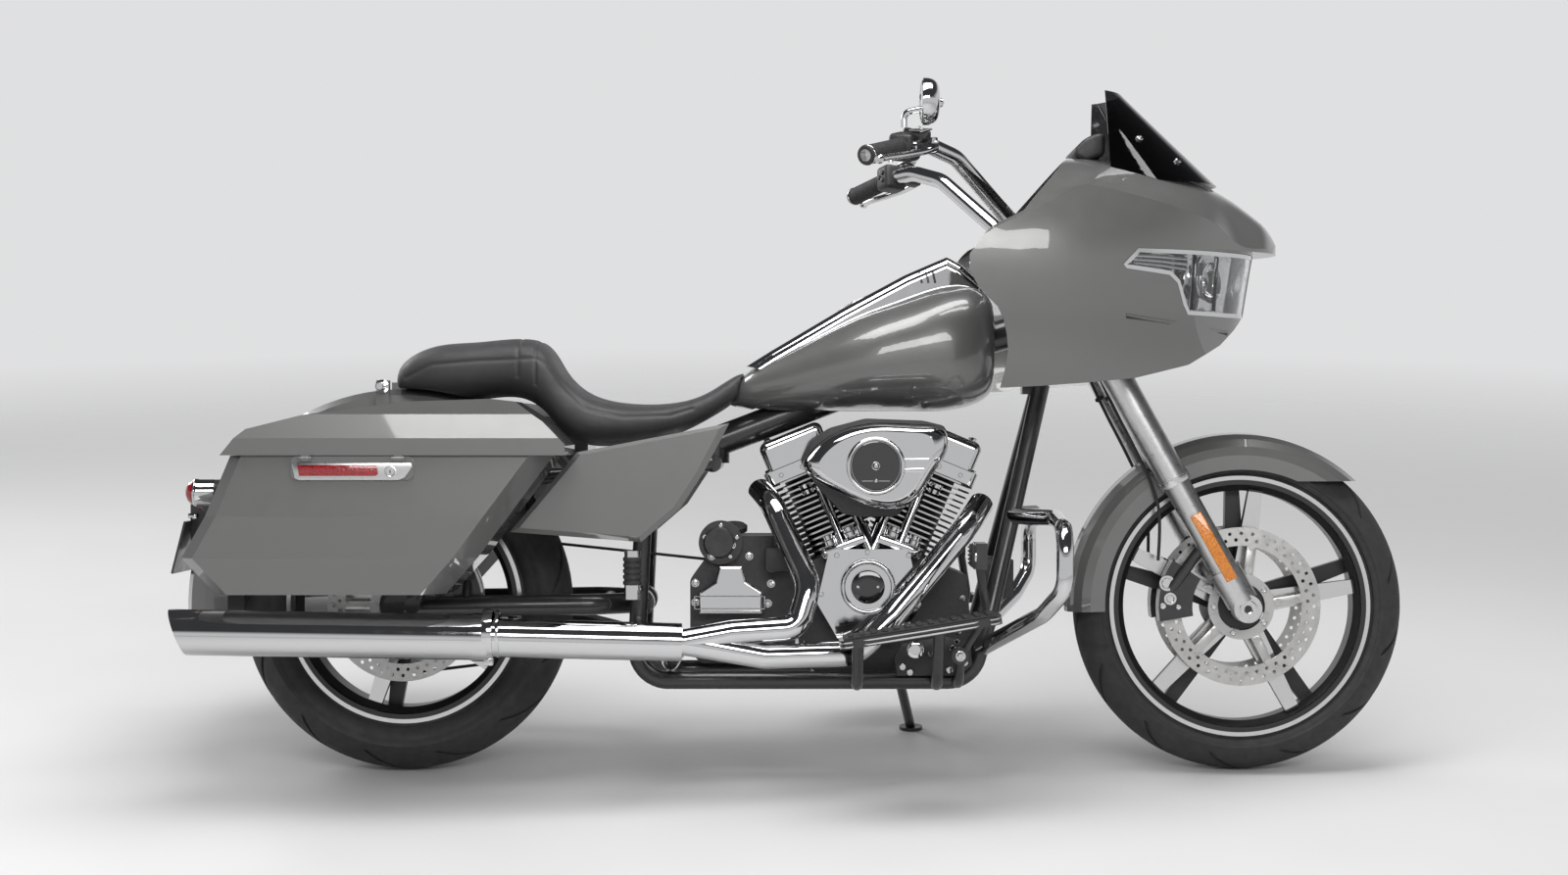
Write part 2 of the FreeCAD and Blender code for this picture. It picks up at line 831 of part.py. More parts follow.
# A brake disc with its carrier arms, whose inner face lies at offset from the wheel's middle
def disc(axle, radius, band, offset, side, first_angle):
    def ring(outer, inner):
        return wheel_ring([(outer, 0), (outer, disc_thickness), (inner, disc_thickness), (inner, 0)],
                          axle)
    pieces = [ring(radius, radius - band), ring(disc_hub_radius, hub_radius + seat_gap)]
    arm_low = disc_hub_radius - disc_thickness
    arm_high = radius - band + disc_thickness
    for index in range(spoke_count):
        corners = [vec(axle.x + arm_low, 0, axle.z - disc_arm_width / 2),
                   vec(axle.x + arm_high, 0, axle.z),
                   vec(axle.x + arm_high, 0, axle.z + disc_arm_width / 2), vec(axle.x + arm_low, 0,
                                                                               axle.z + disc_arm_width)]
        arm = plate(corners, vec(0, disc_thickness, 0))
        pieces.append(turned(arm, axle, leftward, -first_angle - 360.0 / spoke_count * index))
    whole = moved(fused(pieces), vec(0, offset, 0))
    return whole if side > 0 else mirrored(whole)


# Steered parts

def fork_legs():
    legs = []
    for side in (-1, 1):
        foot = leg_point(0, side)
        slider_top = leg_point(cover_bottom_rise + cover_radius, side)
        slider = rod(foot, slider_top, slider_radius)
        clamp = rod(foot - vec(0, axle_clamp_length / 2, 0), foot + vec(0, axle_clamp_length / 2, 0),
                    axle_clamp_radius)
        boss = rod(leg_point(axle_clamp_radius / 2, side), leg_point(axle_clamp_length * 1.6, side),
                   slider_boss_radius)
        cover = rod(leg_point(cover_bottom_rise, side), leg_point(leg_top_rise, side), cover_radius)
        collar = rod(leg_point(cover_bottom_rise, side),
                     leg_point(cover_bottom_rise + clamp_ring, side), cover_radius + 1.5 * clamp_gap)
        leg = fused([slider, clamp, boss, cover, collar])
        # The axle passes through both feet
        legs.append(leg.cut(rod(foot - vec(0, leg_offset, 0), foot + vec(0, leg_offset, 0),
                                axle_bore_radius)))
    reach = vec(0, leg_offset - axle_clamp_length / 2, 0)
    axle = pipe_ring(front_axle - reach, front_axle + reach, axle_radius, axle_bore_radius)
    spacers = both_sides(pipe_ring(front_axle + vec(0, front_disc_offset + clear_gap, 0),
                                   front_axle + reach,
                                   axle_radius * 1.6, axle_bore_radius))
    return [fused(legs + [axle] + spacers)]


def fork_reflectors():
    pieces = []
    for side in (-1, 1):
        low = leg_point(reflector_rise, side)
        # Made upright against the leg's outer face, then laid along the leg
        half = reflector_width / 2
        corner = low + vec(-half, side * (slider_boss_radius + seat_gap), 0)
        strip = plate([corner, corner + vec(reflector_width, 0, 0),
                       corner + vec(reflector_width, 0, reflector_length), corner + vec(0, 0,
                                                                                        reflector_length)],
                      vec(0, side * reflector_depth, 0))
        pieces.append(turned(strip, low, leftward, -fork_angle))
    return pieces


# A clamp plate square to the steering axis, which grips the stem and both legs
def clamp_plate(height):
    centre = steering_point(height)
    outline = []
    rings = []
    for side in (-1, 1):
        # Where the leg crosses the plate's middle
        foot = leg_point(0, side)
        rise = (centre - foot).dot(steering_direction) / fork_direction.dot(steering_direction)
        grip = leg_point(rise, side)
        along = fork_direction * (clamp_thickness / 2)
        rings.append((grip - along, grip + along))
        outline.append(grip)
    half = steering_direction * (clamp_thickness / 2)
    boss = rod(centre - half, centre + half, neck_radius)
    pieces = [boss]
    for low, high in rings:
        pieces.append(rod(low, high, cover_radius + clamp_ring))
    ahead = leftward.cross(steering_direction)
    reach = neck_radius * 0.8
    web = plate([centre + ahead * reach - half, outline[1] + ahead * reach - half,
                 outline[1] - ahead * reach - half, centre - ahead * (reach * 2) - half,
                 outline[0] - ahead * reach - half, outline[0] + ahead * reach - half], half * 2)
    body = fused(pieces + [web])
    for side in (-1, 1):
        body = body.cut(rod(leg_point(cover_bottom_rise, side), leg_point(leg_top_rise + cut_over, side),
                            cover_radius + seat_gap))
    return body


def neck_ends():
    half = neck_length / 2
    middle = steering_point(neck_height)
    return middle - steering_direction * half, middle + steering_direction * half


def upper_clamp():
    return clamp_plate((neck_ends()[1] + steering_direction * (clamp_gap + clamp_thickness / 2)).z)


def triple_clamps():
    low, high = neck_ends()
    reach = clamp_gap + clamp_thickness / 2
    lower = clamp_plate((low - steering_direction * reach).z)
    stem = rod(low - steering_direction * reach, high + steering_direction * reach, stem_radius)
    return [fused([lower, upper_clamp(), stem])]


def upper_clamp_top():
    return neck_ends()[1] + steering_direction * (clamp_gap + clamp_thickness)


def bar_points():
    return [vec(bar_clamp_x, 0, bar_clamp_height + bar_radius),
            vec(bar_clamp_x, riser_spacing, bar_clamp_height + bar_radius),
            vec(bar_knee_x, bar_knee_y, bar_knee_z), vec(bar_crest_x, bar_crest_y, bar_crest_z),
            vec(bar_turn_x, bar_turn_y, bar_turn_z), vec(grip_inner_x, grip_inner_y, grip_inner_z)]


def handlebar():
    half = tube(bar_points(), bar_radius, bar_bend)
    inner, outer = grip_ends()
    end = rod(inner, outer, bar_end_radius)
    knob = Part.makeSphere(bar_radius, inner)
    pieces = both_sides(half) + both_sides(end) + both_sides(knob)
    # Two risers stand on the upper clamp
    top = upper_clamp_top()
    for side in (-1, 1):
        foot = vec(top.x, side * riser_spacing / 2, top.z) - steering_direction * clamp_gap
        head = vec(bar_clamp_x, side * riser_spacing / 2, bar_clamp_height + bar_radius)
        pieces.append(rod(foot, head, riser_radius))
        grip_half = vec(0, riser_radius * 1.2, 0)
        pieces.append(rod(head - grip_half, head + grip_half, bar_radius * 1.5))
    return [fused(pieces).cut(upper_clamp())]


def grip_ends():
    return vec(grip_inner_x, grip_inner_y, grip_inner_z), vec(grip_outer_x, grip_outer_y, grip_outer_z)


def hand_controls():
    inner, outer = grip_ends()
    along = unit(outer - inner)
    ahead = unit(along.cross(upward)) * -1
    if ahead.x < 0:
        ahead = ahead * -1
    bore = rod(inner - along * cut_over, outer + along * cut_over, bar_end_radius + running_gap)
    knob = Part.makeSphere(bar_radius + seat_gap, inner)
    switch_end = inner + along * switch_length * 0.45
    grip = rod(switch_end, outer, grip_radius)
    switch = rod(inner + along * (bar_radius * 0.2), switch_end, switch_radius)
    perch_middle = inner + along * switch_length * 0.2
    perch = rod(perch_middle, perch_middle + ahead * lever_reach, bar_radius * 0.8)
    tank = block(perch_middle + ahead * (lever_reach * 0.35) + vec(-bar_radius, -bar_radius,
                                                                   bar_radius * 0.6),
                 perch_middle + ahead * (lever_reach * 0.35) + vec(bar_radius * 1.6, bar_radius,
                                                                   bar_radius * 2.2))
    pivot = perch_middle + ahead * lever_reach
    tip = pivot + along * lever_length - ahead * (lever_reach * 0.25)
    side = unit(tip - pivot)
    face = unit(side.cross(upward))
    lever = plate([pivot - upward * (lever_width / 2), tip - upward * (lever_width / 3),
                   tip + upward * (lever_width / 3), pivot + upward * (lever_width / 2)],
                  face * lever_thickness)
    knuckle = rod(pivot - upward * (lever_width * 0.7), pivot + upward * (lever_width * 0.7),
                  lever_width * 0.6)
    whole = fused([switch, grip, perch, tank, lever, knuckle]).cut(bore).cut(knob)
    whole = whole.cut(tube(bar_points(), bar_radius + seat_gap, bar_bend))
    return both_sides(whole)


def mirrors():
    inner, outer = grip_ends()
    along = unit(outer - inner)
    base = inner + along * switch_length * 0.2 + upward * (bar_radius * 2.2 + seat_gap)
    head = vec(mirror_x, mirror_y, mirror_z)
    stem = tube([base, base + vec(0, 0, (head.z - base.z) * 0.7),
                 head + vec(mirror_depth / 2, -mirror_width * 0.3, 0), head + vec(mirror_depth / 3, 0,
                                                                                  0)],
                mirror_stem_radius, mirror_height / 3)
    # The head: a shallow shell of two ovals that face rearwards
    def oval(x, share):
        points = []
        for index in range(mirror_points):
            turn = 2 * math.pi * index / mirror_points
            stretch = 1 + 0.18 * math.cos(turn)
            points.append(vec(x, head.y + share * mirror_width / 2 * math.cos(turn),
                              head.z + share * stretch * mirror_height / 2 * math.sin(turn)))
        return smooth_loop(points)
    shell = loft([oval(head.x - mirror_depth / 2, 1.0), oval(head.x, 0.96),
                  oval(head.x + mirror_depth * 0.4, 0.6)])
    return both_sides(fused([shell, stem]))


def front_fender():
    outer = front_fender_radius
    inner = outer - front_fender_wall
    half = front_fender_half_width
    low = outer - front_fender_skirt
    # A rounded crown with side skirts, swept round the axle from the rear end to the front tip
    crown = []
    for index in range(crown_steps + 1):
        turn = math.pi * index / crown_steps
        crown.append((inner - half * 0.55 + half * 0.55 * math.sin(turn), half * math.cos(turn)))
    outline_out = [(low, half)] + [(r + front_fender_wall, y) for r, y in crown] + [(low, -half)]
    outline_in = [(low, half - front_fender_wall)] + [(r, y * (1 - front_fender_wall / half)) for r,
                                                      y in crown]
    outline_in += [(low, -half + front_fender_wall)]
    ring = wheel_ring(outline_out + list(reversed(outline_in)), front_axle, -front_fender_sweep)
    ring = turned(ring, front_axle, leftward, -front_fender_start)
    # The skirt's lower edge runs level in front and follows the wheel behind
    trim = [vec(p.x, -half - cut_over, p.z) for p in
            side_points(fender_trim_shares, front_axle.x - outer, front_axle.z, 2 * outer, outer)]
    ring = ring.cut(plate(trim, vec(0, 2 * half + 2 * cut_over, 0)))
    # Brackets carry it on the sliders
    brackets = []
    for side in (-1, 1):
        rise = fender_bracket_rise
        leg = leg_point(rise, side)
        inner_y = side * (half - front_fender_wall / 2)
        outer_y = side * (leg_offset - slider_radius - seat_gap)
        corner = leg - fork_direction * (fender_bracket_width / 2)
        start = vec(corner.x, inner_y, corner.z)
        brackets.append(plate([start, start + vec(0, outer_y - inner_y, 0),
                               start + vec(0, outer_y - inner_y,
                                           0) + fork_direction * fender_bracket_width,
                               start + fork_direction * fender_bracket_width],
                              vec(fender_bracket_thickness, 0, 0)))
    return [fused([ring] + brackets)]


def front_calipers():
    pieces = []
    for side in (-1, 1):
        low = front_disc_radius - caliper_width
        outline = [(low, 0), (front_disc_radius + caliper_slot, 0),
                   (front_disc_radius + caliper_slot, caliper_depth), (low, caliper_depth)]
        sweep = math.degrees(caliper_length / front_disc_radius)
        body = wheel_ring(outline, front_axle, -sweep)
        body = turned(body, front_axle, leftward, -caliper_angle + sweep / 2)
        body = moved(body, vec(0, front_disc_offset + disc_thickness / 2 - caliper_depth / 2, 0))
        slot = wheel_ring([(hub_radius, 0), (front_disc_radius + clear_gap, 0),
                           (front_disc_radius + clear_gap, disc_thickness + 2 * clear_gap),
                           (hub_radius, disc_thickness + 2 * clear_gap)], front_axle)
        body = body.cut(moved(slot, vec(0, front_disc_offset - clear_gap, 0)))
        # A lug reaches the slider
        grip = leg_point(caliper_lug_rise, 1)
        spot = front_axle + vec(math.cos(math.radians(caliper_angle)), 0,
                                math.sin(math.radians(caliper_angle))) * (front_disc_radius - caliper_slot)
        outer_y = front_disc_offset + disc_thickness / 2 + caliper_depth / 2
        lug_low = vec(spot.x, outer_y - caliper_slot, spot.z)
        lug = rod(vec(lug_low.x, outer_y - caliper_slot, lug_low.z),
                  vec(grip.x, grip.y - slider_radius * 0.6, grip.z),
                  caliper_slot * 1.2)
        lug = lug.cut(rod(leg_point(0, 1), leg_point(cover_bottom_rise, 1), slider_radius + seat_gap))
        lug = lug.cut(rod(leg_point(axle_clamp_radius / 2, 1), leg_point(axle_clamp_length * 1.6, 1),
                          slider_boss_radius + seat_gap))
        whole = fused([body, lug])
        pieces.append(whole if side > 0 else mirrored(whole))
    return pieces


# Frame

def backbone_points():
    return [vec(backbone_front_x, 0, backbone_front_z), vec(backbone_knee_x, 0, backbone_knee_z),
            vec(backbone_rear_x, 0, backbone_rear_z)]


def seat_rail_point(x):
    share = (backbone_rear_x - x) / (backbone_rear_x - seat_rail_rear_x)
    return vec(x, seat_rail_y, seat_rail_z + share * (seat_rail_rear_z - seat_rail_z))


def cradle_tubes(radius):
    half = tube([vec(downtube_top_x, downtube_top_y, downtube_top_z),
                 vec(downtube_foot_x, rail_y, downtube_foot_z), vec(rail_front_x, rail_y, rail_z),
                 vec(rail_rear_x, rail_y, rail_z), vec(upright_x, seat_rail_y,
                                                       seat_rail_z)], radius, frame_bend)
    return both_sides(half)


def seat_rails(radius):
    return both_sides(rod(seat_rail_point(backbone_rear_x), seat_rail_point(seat_rail_rear_x), radius))


# A solid cut back so that it seats on the frame's tubes, without the loose ends
def seated_on_tubes(solid, tubes):
    for tube_solid in tubes:
        solid = solid.cut(tube_solid)
    return max(solid.Solids, key=lambda s: s.Volume)


def cross_tube_radius():
    return frame_tube_radius * cross_tube_share


def backbone_point(x):
    knee, rear = backbone_points()[1:]
    share = (knee.x - x) / (knee.x - rear.x)
    return knee + (rear - knee) * share


def frame():
    low, high = neck_ends()
    neck = rod(low, high, neck_radius)
    gusset = side_plate(side_points(gusset_shares, gusset_x, gusset_z, gusset_length, gusset_height),
                        -gusset_half_width, 2 * gusset_half_width)
    backbone = tube(backbone_points(), backbone_radius, frame_bend * 3)
    pieces = [neck, gusset, backbone] + cradle_tubes(frame_tube_radius) + seat_rails(seat_tube_radius)
    reach = vec(0, seat_rail_y, 0)
    cross = seat_rail_point(backbone_rear_x) - reach
    pieces.append(rod(cross - reach, cross + reach, seat_tube_radius * 1.2))
    pieces.append(rod(cross, vec(backbone_rear_x, 0, backbone_rear_z), backbone_radius))
    for x in case_mount_xs + (rail_rear_x + frame_bend,):
        pieces.append(rod(vec(x, -rail_y, rail_z), vec(x, rail_y, rail_z), cross_tube_radius()))
    # The tank's mounts stand out of the backbone inside its tunnel
    for x in tank_mount_xs:
        out = vec(0, tunnel_half_width - seat_gap, 0)
        pieces.append(rod(backbone_point(x) - out, backbone_point(x) + out, tank_mount_radius))
    # The swingarm pivot crosses between the uprights
    pivot = swingarm_pivot()
    pieces.append(rod(pivot - reach, pivot + reach, frame_tube_radius))
    return [fused(pieces).cut(rod(low - steering_direction * cut_over,
                                  high + steering_direction * cut_over,
                                  stem_radius + running_gap))]


def swingarm_pivot():
    share = (swingarm_pivot_z - rail_z) / (seat_rail_z - rail_z)
    return vec(rail_rear_x + share * (upright_x - rail_rear_x), 0, swingarm_pivot_z)


def downtube_point(z):
    top = vec(downtube_top_x, downtube_top_y, downtube_top_z)
    foot = vec(downtube_foot_x, rail_y, downtube_foot_z)
    if z < foot.z:
        top, foot = foot, vec(rail_front_x, rail_y, rail_z)
    return top + (foot - top) * ((top.z - z) / (top.z - foot.z))


def engine_guard():
    path = [downtube_point(guard_top_z), vec(guard_outer_x, guard_outer_y * 0.55, guard_top_z),
            vec(guard_outer_x, guard_outer_y, guard_outer_high_z), vec(guard_outer_x, guard_outer_y,
                                                                       guard_outer_low_z),
            vec(guard_low_x, guard_outer_y * 0.85, guard_low_z), downtube_point(guard_foot_z)]
    half = tube(path, guard_radius, guard_bend)
    return both_sides(seated_on_tubes(half, cradle_tubes(frame_tube_radius + seat_gap)))


# Engine, whose cylinders are made upright over the crank and then tilted

def crank():
    return vec(crank_x, 0, crank_z)


def tilted(shape, side):
    return turned(shape, crank(), leftward, side * cylinder_tilt)


def cylinder_cut(side):
    reach = case_length
    return tilted(block(crank() + vec(-reach / 2, -reach, cylinder_base),
                        crank() + vec(reach / 2, reach, 3 * reach)), side)


def engine_case():
    case_z = rail_z + cross_tube_radius() + seat_gap
    points = side_points(case_shares, case_x, case_z, case_length, case_height)
    case = side_plate(points, -case_half_width, 2 * case_half_width)
    case = rounded_along(case, leftward, case_round)
    for side in (-1, 1):
        case = case.cut(cylinder_cut(side))
    return [case]


def fin(half_width, height, thickness):
    low = vec(-half_width, -fin_half_depth, height)
    plate_solid = block(crank() + low, crank() + vec(half_width, fin_half_depth, height + thickness))
    return rounded_along(plate_solid, upward, fin_round)


def pushrod_ends(side, place):
    x = (place - side * pushrod_shift_share) * pushrod_spacing
    return crank() + vec(x, -pushrod_low_y, pushrod_low), crank() + vec(x, -pushrod_high_y,
                                                                        cylinder_fin_top)


def cylinders():
    pieces = []
    for side in (-1, 1):
        base = cylinder_base + seat_gap
        top = cylinder_fin_top - seat_gap
        barrel = rod(crank() + vec(0, 0, base), crank() + vec(0, 0, top), barrel_radius)
        plates = []
        pitch = (top - base - fin_thickness) / (fin_count - 1)
        for index in range(fin_count):
            share = index / (fin_count - 1)
            half = fin_root_half_width + share * (fin_tip_half_width - fin_root_half_width)
            plates.append(fin(half, base + pitch * index, fin_thickness))
        whole = fused([barrel] + plates)
        # The fins are notched for the pushrod tubes
        for place in (-0.5, 0.5):
            low, high = pushrod_ends(side, place)
            whole = whole.cut(rod(low, high, pushrod_radius + clear_gap))
        # Nothing crosses the valley between the two
        reach = case_length
        valley = block(crank() + vec(-valley_gap, -reach, 0), crank() + vec(reach, reach, 2 * reach))
        if side > 0:
            valley = block(crank() + vec(-reach, -reach, 0), crank() + vec(valley_gap, reach, 2 * reach))
        pieces.append(tilted(whole, side).cut(valley))
    return pieces


def rocker_boxes():
    pieces = []
    for side in (-1, 1):
        shift = side * rocker_shift
        low = block(crank() + vec(shift - rocker_half_length, -rocker_half_width, rocker_low),
                    crank() + vec(shift + rocker_half_length, rocker_half_width,
                                  rocker_low + rocker_step))
        high = block(crank() + vec(shift - rocker_half_length + rocker_inset,
                                   -rocker_half_width + rocker_inset,
                                   rocker_low + rocker_step),
                     crank() + vec(shift + rocker_half_length - rocker_inset,
                                   rocker_half_width - rocker_inset,
                                   rocker_low + rocker_height))
        top_z = crank_z + rocker_low + rocker_step * 1.2
        high = high.makeFillet(rocker_round, [e for e in high.Edges if e.CenterOfMass.z > top_z])
        low = rounded_along(low, upward, rocker_round)
        pieces.append(tilted(fused([low, high]), side))
    return pieces


def pushrod_tubes():
    pieces = []
    cover_top = cam_z + cam_height + seat_gap
    below = block(vec(cam_x - cam_length, -2 * pushrod_low_y, 0),
                  vec(cam_x + 2 * cam_length, 0, cover_top))
    for side in (-1, 1):
        for place in (-0.5, 0.5):
            low, high = pushrod_ends(side, place)
            along = unit(high - low)
            top = high - along * (seat_gap + clear_gap)
            collar = rod(low - along * tappet_height, low + along * tappet_height, pushrod_radius * 1.6)
            solid = tilted(fused([rod(low, top, pushrod_radius), collar]), side).cut(below)
            pieces.append(solid.cut(block(vec(0, -case_half_width - seat_gap, 0),
                                          vec(wheelbase, 0, case_top()))))
    return pieces


def case_top():
    return rail_z + cross_tube_radius() + seat_gap + case_height + seat_gap


def air_cleaner():
    points = side_points(cleaner_shares, cleaner_x, cleaner_z, cleaner_length, cleaner_height)
    middle = vec(cleaner_x + cleaner_length / 2, 0, cleaner_z + cleaner_height / 2)

    def ring(share, y):
        return smooth_loop([vec(middle.x + (p.x - middle.x) * share, y,
                                middle.z + (p.z - middle.z) * share) for p in points])
    inner_y = -cleaner_outer_y + cleaner_depth
    body = loft([ring(0.96, inner_y), ring(1.0, inner_y - cleaner_depth * 0.25),
                 ring(1.0, inner_y - cleaner_depth * 0.65),
                 ring(0.90, inner_y - cleaner_depth * 0.92), ring(0.80, -cleaner_outer_y)])
    dial = vec(cleaner_dial_x, 0, cleaner_dial_z)
    face = dial - vec(0, cleaner_outer_y, 0)
    well = rod(face - vec(0, cut_over, 0), face + vec(0, cleaner_dial_rise, 0), cleaner_dial_radius)
    centre = rod(face - vec(0, cleaner_dial_rise / 3, 0), face + vec(0, cleaner_dial_rise, 0),
                 cleaner_dial_radius * 0.84)
    intake = rod(vec(crank_x, inner_y, cleaner_dial_z), vec(crank_x, -fin_half_depth - seat_gap,
                                                            cleaner_dial_z),
                 intake_radius)
    # Two posts bolt it to the cylinders, each between a pair of pushrod tubes
    posts = []
    for side in (-1, 1):
        x = -side * pushrod_shift_share * pushrod_spacing
        posts.append(tilted(rod(crank() + vec(x, inner_y - cut_over, cleaner_post_rise),
                                crank() + vec(x, -fin_half_depth - seat_gap, cleaner_post_rise),
                                cleaner_post_radius), side))
    return [fused([body.cut(well), centre, intake] + posts)]


def engine_covers():
    covers = []
    cam = side_plate(side_points(cam_shares, cam_x, cam_z, cam_length, cam_height),
                     -case_half_width - seat_gap, -cam_depth)
    cam = rounded_along(cam, leftward, cam_round)
    timer = vec(timer_x, -case_half_width - cam_depth, timer_z)
    ring = rod(timer + vec(0, cut_over, 0), timer - vec(0, timer_depth, 0), timer_radius)
    well = rod(timer - vec(0, timer_depth * 0.6, 0), timer - vec(0, timer_depth + cut_over, 0),
               timer_radius * 0.8)
    dome = rod(timer - vec(0, timer_depth * 0.5, 0), timer - vec(0, timer_depth * 0.95, 0),
               timer_radius * 0.62)
    covers.append(fused([cam, ring]).cut(well).fuse(dome))
    points = side_points(gearbox_cover_shares, gearbox_cover_x, gearbox_cover_z, gearbox_cover_length,
                         gearbox_cover_height)
    chrome = side_plate(points, -gearbox_half_width - seat_gap, -gearbox_cover_depth)
    face_y = -gearbox_half_width - gearbox_cover_depth * 0.9
    covers.append(chrome.makeFillet(cam_round / 3, [e for e in chrome.Edges if e.CenterOfMass.y < face_y]))
    return covers


def gearbox():
    points = side_points(gearbox_shares, gearbox_x, gearbox_z, gearbox_length, gearbox_height)
    body = side_plate(points, -gearbox_half_width, gearbox_half_width + gearbox_left_width)
    body = rounded_along(body, leftward, gearbox_round)
    spot = vec(sprocket_cover_x, -gearbox_half_width, sprocket_cover_z)
    boss = rod(spot + vec(0, cut_over, 0), spot - vec(0, cut_over * 4, 0), sprocket_cover_radius)
    return [fused([body, boss])]


def primary_cover():
    def oval(front, rear, low_y, high_y):
        ends = [rod(vec(primary_front_x, low_y, primary_z), vec(primary_front_x, high_y, primary_z),
                    front),
                rod(vec(primary_rear_x, low_y, primary_z), vec(primary_rear_x, high_y, primary_z), rear)]
        span = primary_front_x - primary_rear_x
        lean = (front - rear) / span
        rise = math.sqrt(1 - lean ** 2)
        tops = [vec(primary_front_x + front * lean, low_y, primary_z + front * rise),
                vec(primary_rear_x + rear * lean, low_y, primary_z + rear * rise),
                vec(primary_rear_x + rear * lean, low_y, primary_z - rear * rise),
                vec(primary_front_x + front * lean, low_y, primary_z - front * rise)]
        return fused(ends + [plate(tops, vec(0, high_y - low_y, 0))])
    low_y = primary_y
    base = oval(primary_front_radius, primary_rear_radius, low_y, low_y + primary_depth - primary_step)
    crown = oval(primary_front_radius - primary_round, primary_rear_radius - primary_round,
                 low_y + primary_depth - primary_step, low_y + primary_depth)
    # Its inner plate closes the step to the narrower engine case
    spacer = oval(primary_front_radius - primary_step, primary_rear_radius - primary_step, low_y,
                  low_y + cut_over)
    shim = rod(vec(primary_front_x, case_half_width + seat_gap, primary_z),
               vec(primary_front_x, low_y + cut_over, primary_z),
               primary_front_radius - primary_step)
    return [fused([base, crown, spacer, shim])]


# Exhaust

def muffler_line(x):
    share = (muffler_front_x - x) / (muffler_front_x - muffler_rear_x)
    return vec(x, muffler_y, muffler_front_z + share * (muffler_z - muffler_front_z))


def mufflers():
    rear = muffler_line(muffler_rear_x - muffler_radius)
    front = muffler_line(muffler_front_x - collar_length / 2)
    shell = rod(rear, front, muffler_radius)
    bore = rod(rear, muffler_line(muffler_rear_x + muffler_bore_depth), muffler_radius - muffler_wall)
    collar = rod(muffler_line(muffler_front_x - collar_length), muffler_line(muffler_front_x),
                 collar_radius)
    reach = 2 * muffler_radius
    slant = math.tan(math.radians(muffler_cut_angle)) * reach
    middle = muffler_line(muffler_rear_x)
    knife = plate([middle + vec(-slant, -reach, reach), middle + vec(slant, -reach, -reach),
                   middle + vec(-3 * reach, -reach, -reach), middle + vec(-3 * reach, -reach,
                                                                          reach)], vec(0, 2 * reach, 0))
    body = fused([shell, collar]).cut(bore).cut(knife)
    return both_sides(body)


def exhaust_headers():
    merge = vec(front_pipe_x, -muffler_y * front_pipe_y_share, front_pipe_z)
    head = rod(vec(muffler_front_x, -muffler_y, muffler_front_z), merge, front_pipe_radius)
    routes = []
    for shares in (rear_header_shares, front_header_shares):
        routes.append(route_points(shares, crank_x, -muffler_y, crank_z) + [merge])
    left_end = vec(muffler_front_x, muffler_y, muffler_front_z)
    routes.append([left_end] + route_points(crossover_shares, crank_x, -muffler_y, crank_z) + [merge])
    radii = (header_radius, header_radius, crossover_radius)
    whole = fused([head] + [tube(route, radius, header_bend) for route, radius in zip(routes, radii)])
    for room in both_sides(rod(muffler_line(muffler_rear_x), muffler_line(muffler_front_x + seat_gap),
                               2 * muffler_radius)):
        whole = whole.cut(room)
    return [whole]


# Tank and seat

# A solid lofted through stations of (length share, low share, high share, width share)
def station_loft(stations, start_x, end_x, low_z, height, half_width, power, inset=0.0):
    wires = []
    direction = math.copysign(1, end_x - start_x)
    for share_x, share_low, share_high, share_width in stations:
        x = start_x + share_x * (end_x - start_x)
        low = low_z + share_low * height + inset
        high = max(low_z + share_high * height - inset, low + inset)
        half = max(share_width * half_width - inset, inset)
        wires.append(cross_section(x + direction * inset, low, high, half, power))
    return loft(wires)


def tank_body():
    return station_loft(tank_stations_share, tank_x, tank_x + tank_length, tank_z, tank_height,
                        tank_half_width, tank_power)


# The space round the backbone that the tank straddles, open below
def tank_tunnel():
    points = backbone_points()
    rise = backbone_radius + tunnel_clearance
    outline = []
    for point in points:
        outline.append(vec(point.x, -tunnel_half_width, point.z + rise))
    first = points[0] + (points[0] - points[1])
    outline.insert(0, vec(first.x, -tunnel_half_width, first.z + rise))
    outline.append(vec(points[2].x - tank_height, -tunnel_half_width, points[2].z - tank_height))
    outline.append(vec(first.x, -tunnel_half_width, points[2].z - tank_height))
    return plate(outline, vec(0, 2 * tunnel_half_width, 0))


def fuel_tank():
    return [tank_body().cut(tank_tunnel())]


# The console's corner, length and height, as shares of the tank's
def console_box():
    return (tank_x + console_x_share * tank_length, tank_z + console_z_share * tank_height,
            console_length_share * tank_length, console_height_share * tank_height)


def console_top_z(x):
    points = side_points(console_shares, *console_box())[:console_top_count]
    for low, high in zip(points, points[1:]):
        if low.x <= x <= high.x:
            return low.z + (high.z - low.z) * (x - low.x) / (high.x - low.x)
    return points[-1].z


def console_slope(x):
    reach = door_radius
    return math.degrees(math.atan2(console_top_z(x + reach) - console_top_z(x - reach), 2 * reach))


# The fuel door lies in a round well square to the console's top; made flat at the origin
def in_door_place(shape):
    x = tank_x + door_x_share * tank_length
    centre = vec(x, 0, console_top_z(x))
    return moved(turned(shape, origin, leftward, -console_slope(x)), centre)


def door_hinge_point():
    return vec(door_radius + door_pin_radius, 0, -door_thickness / 2)


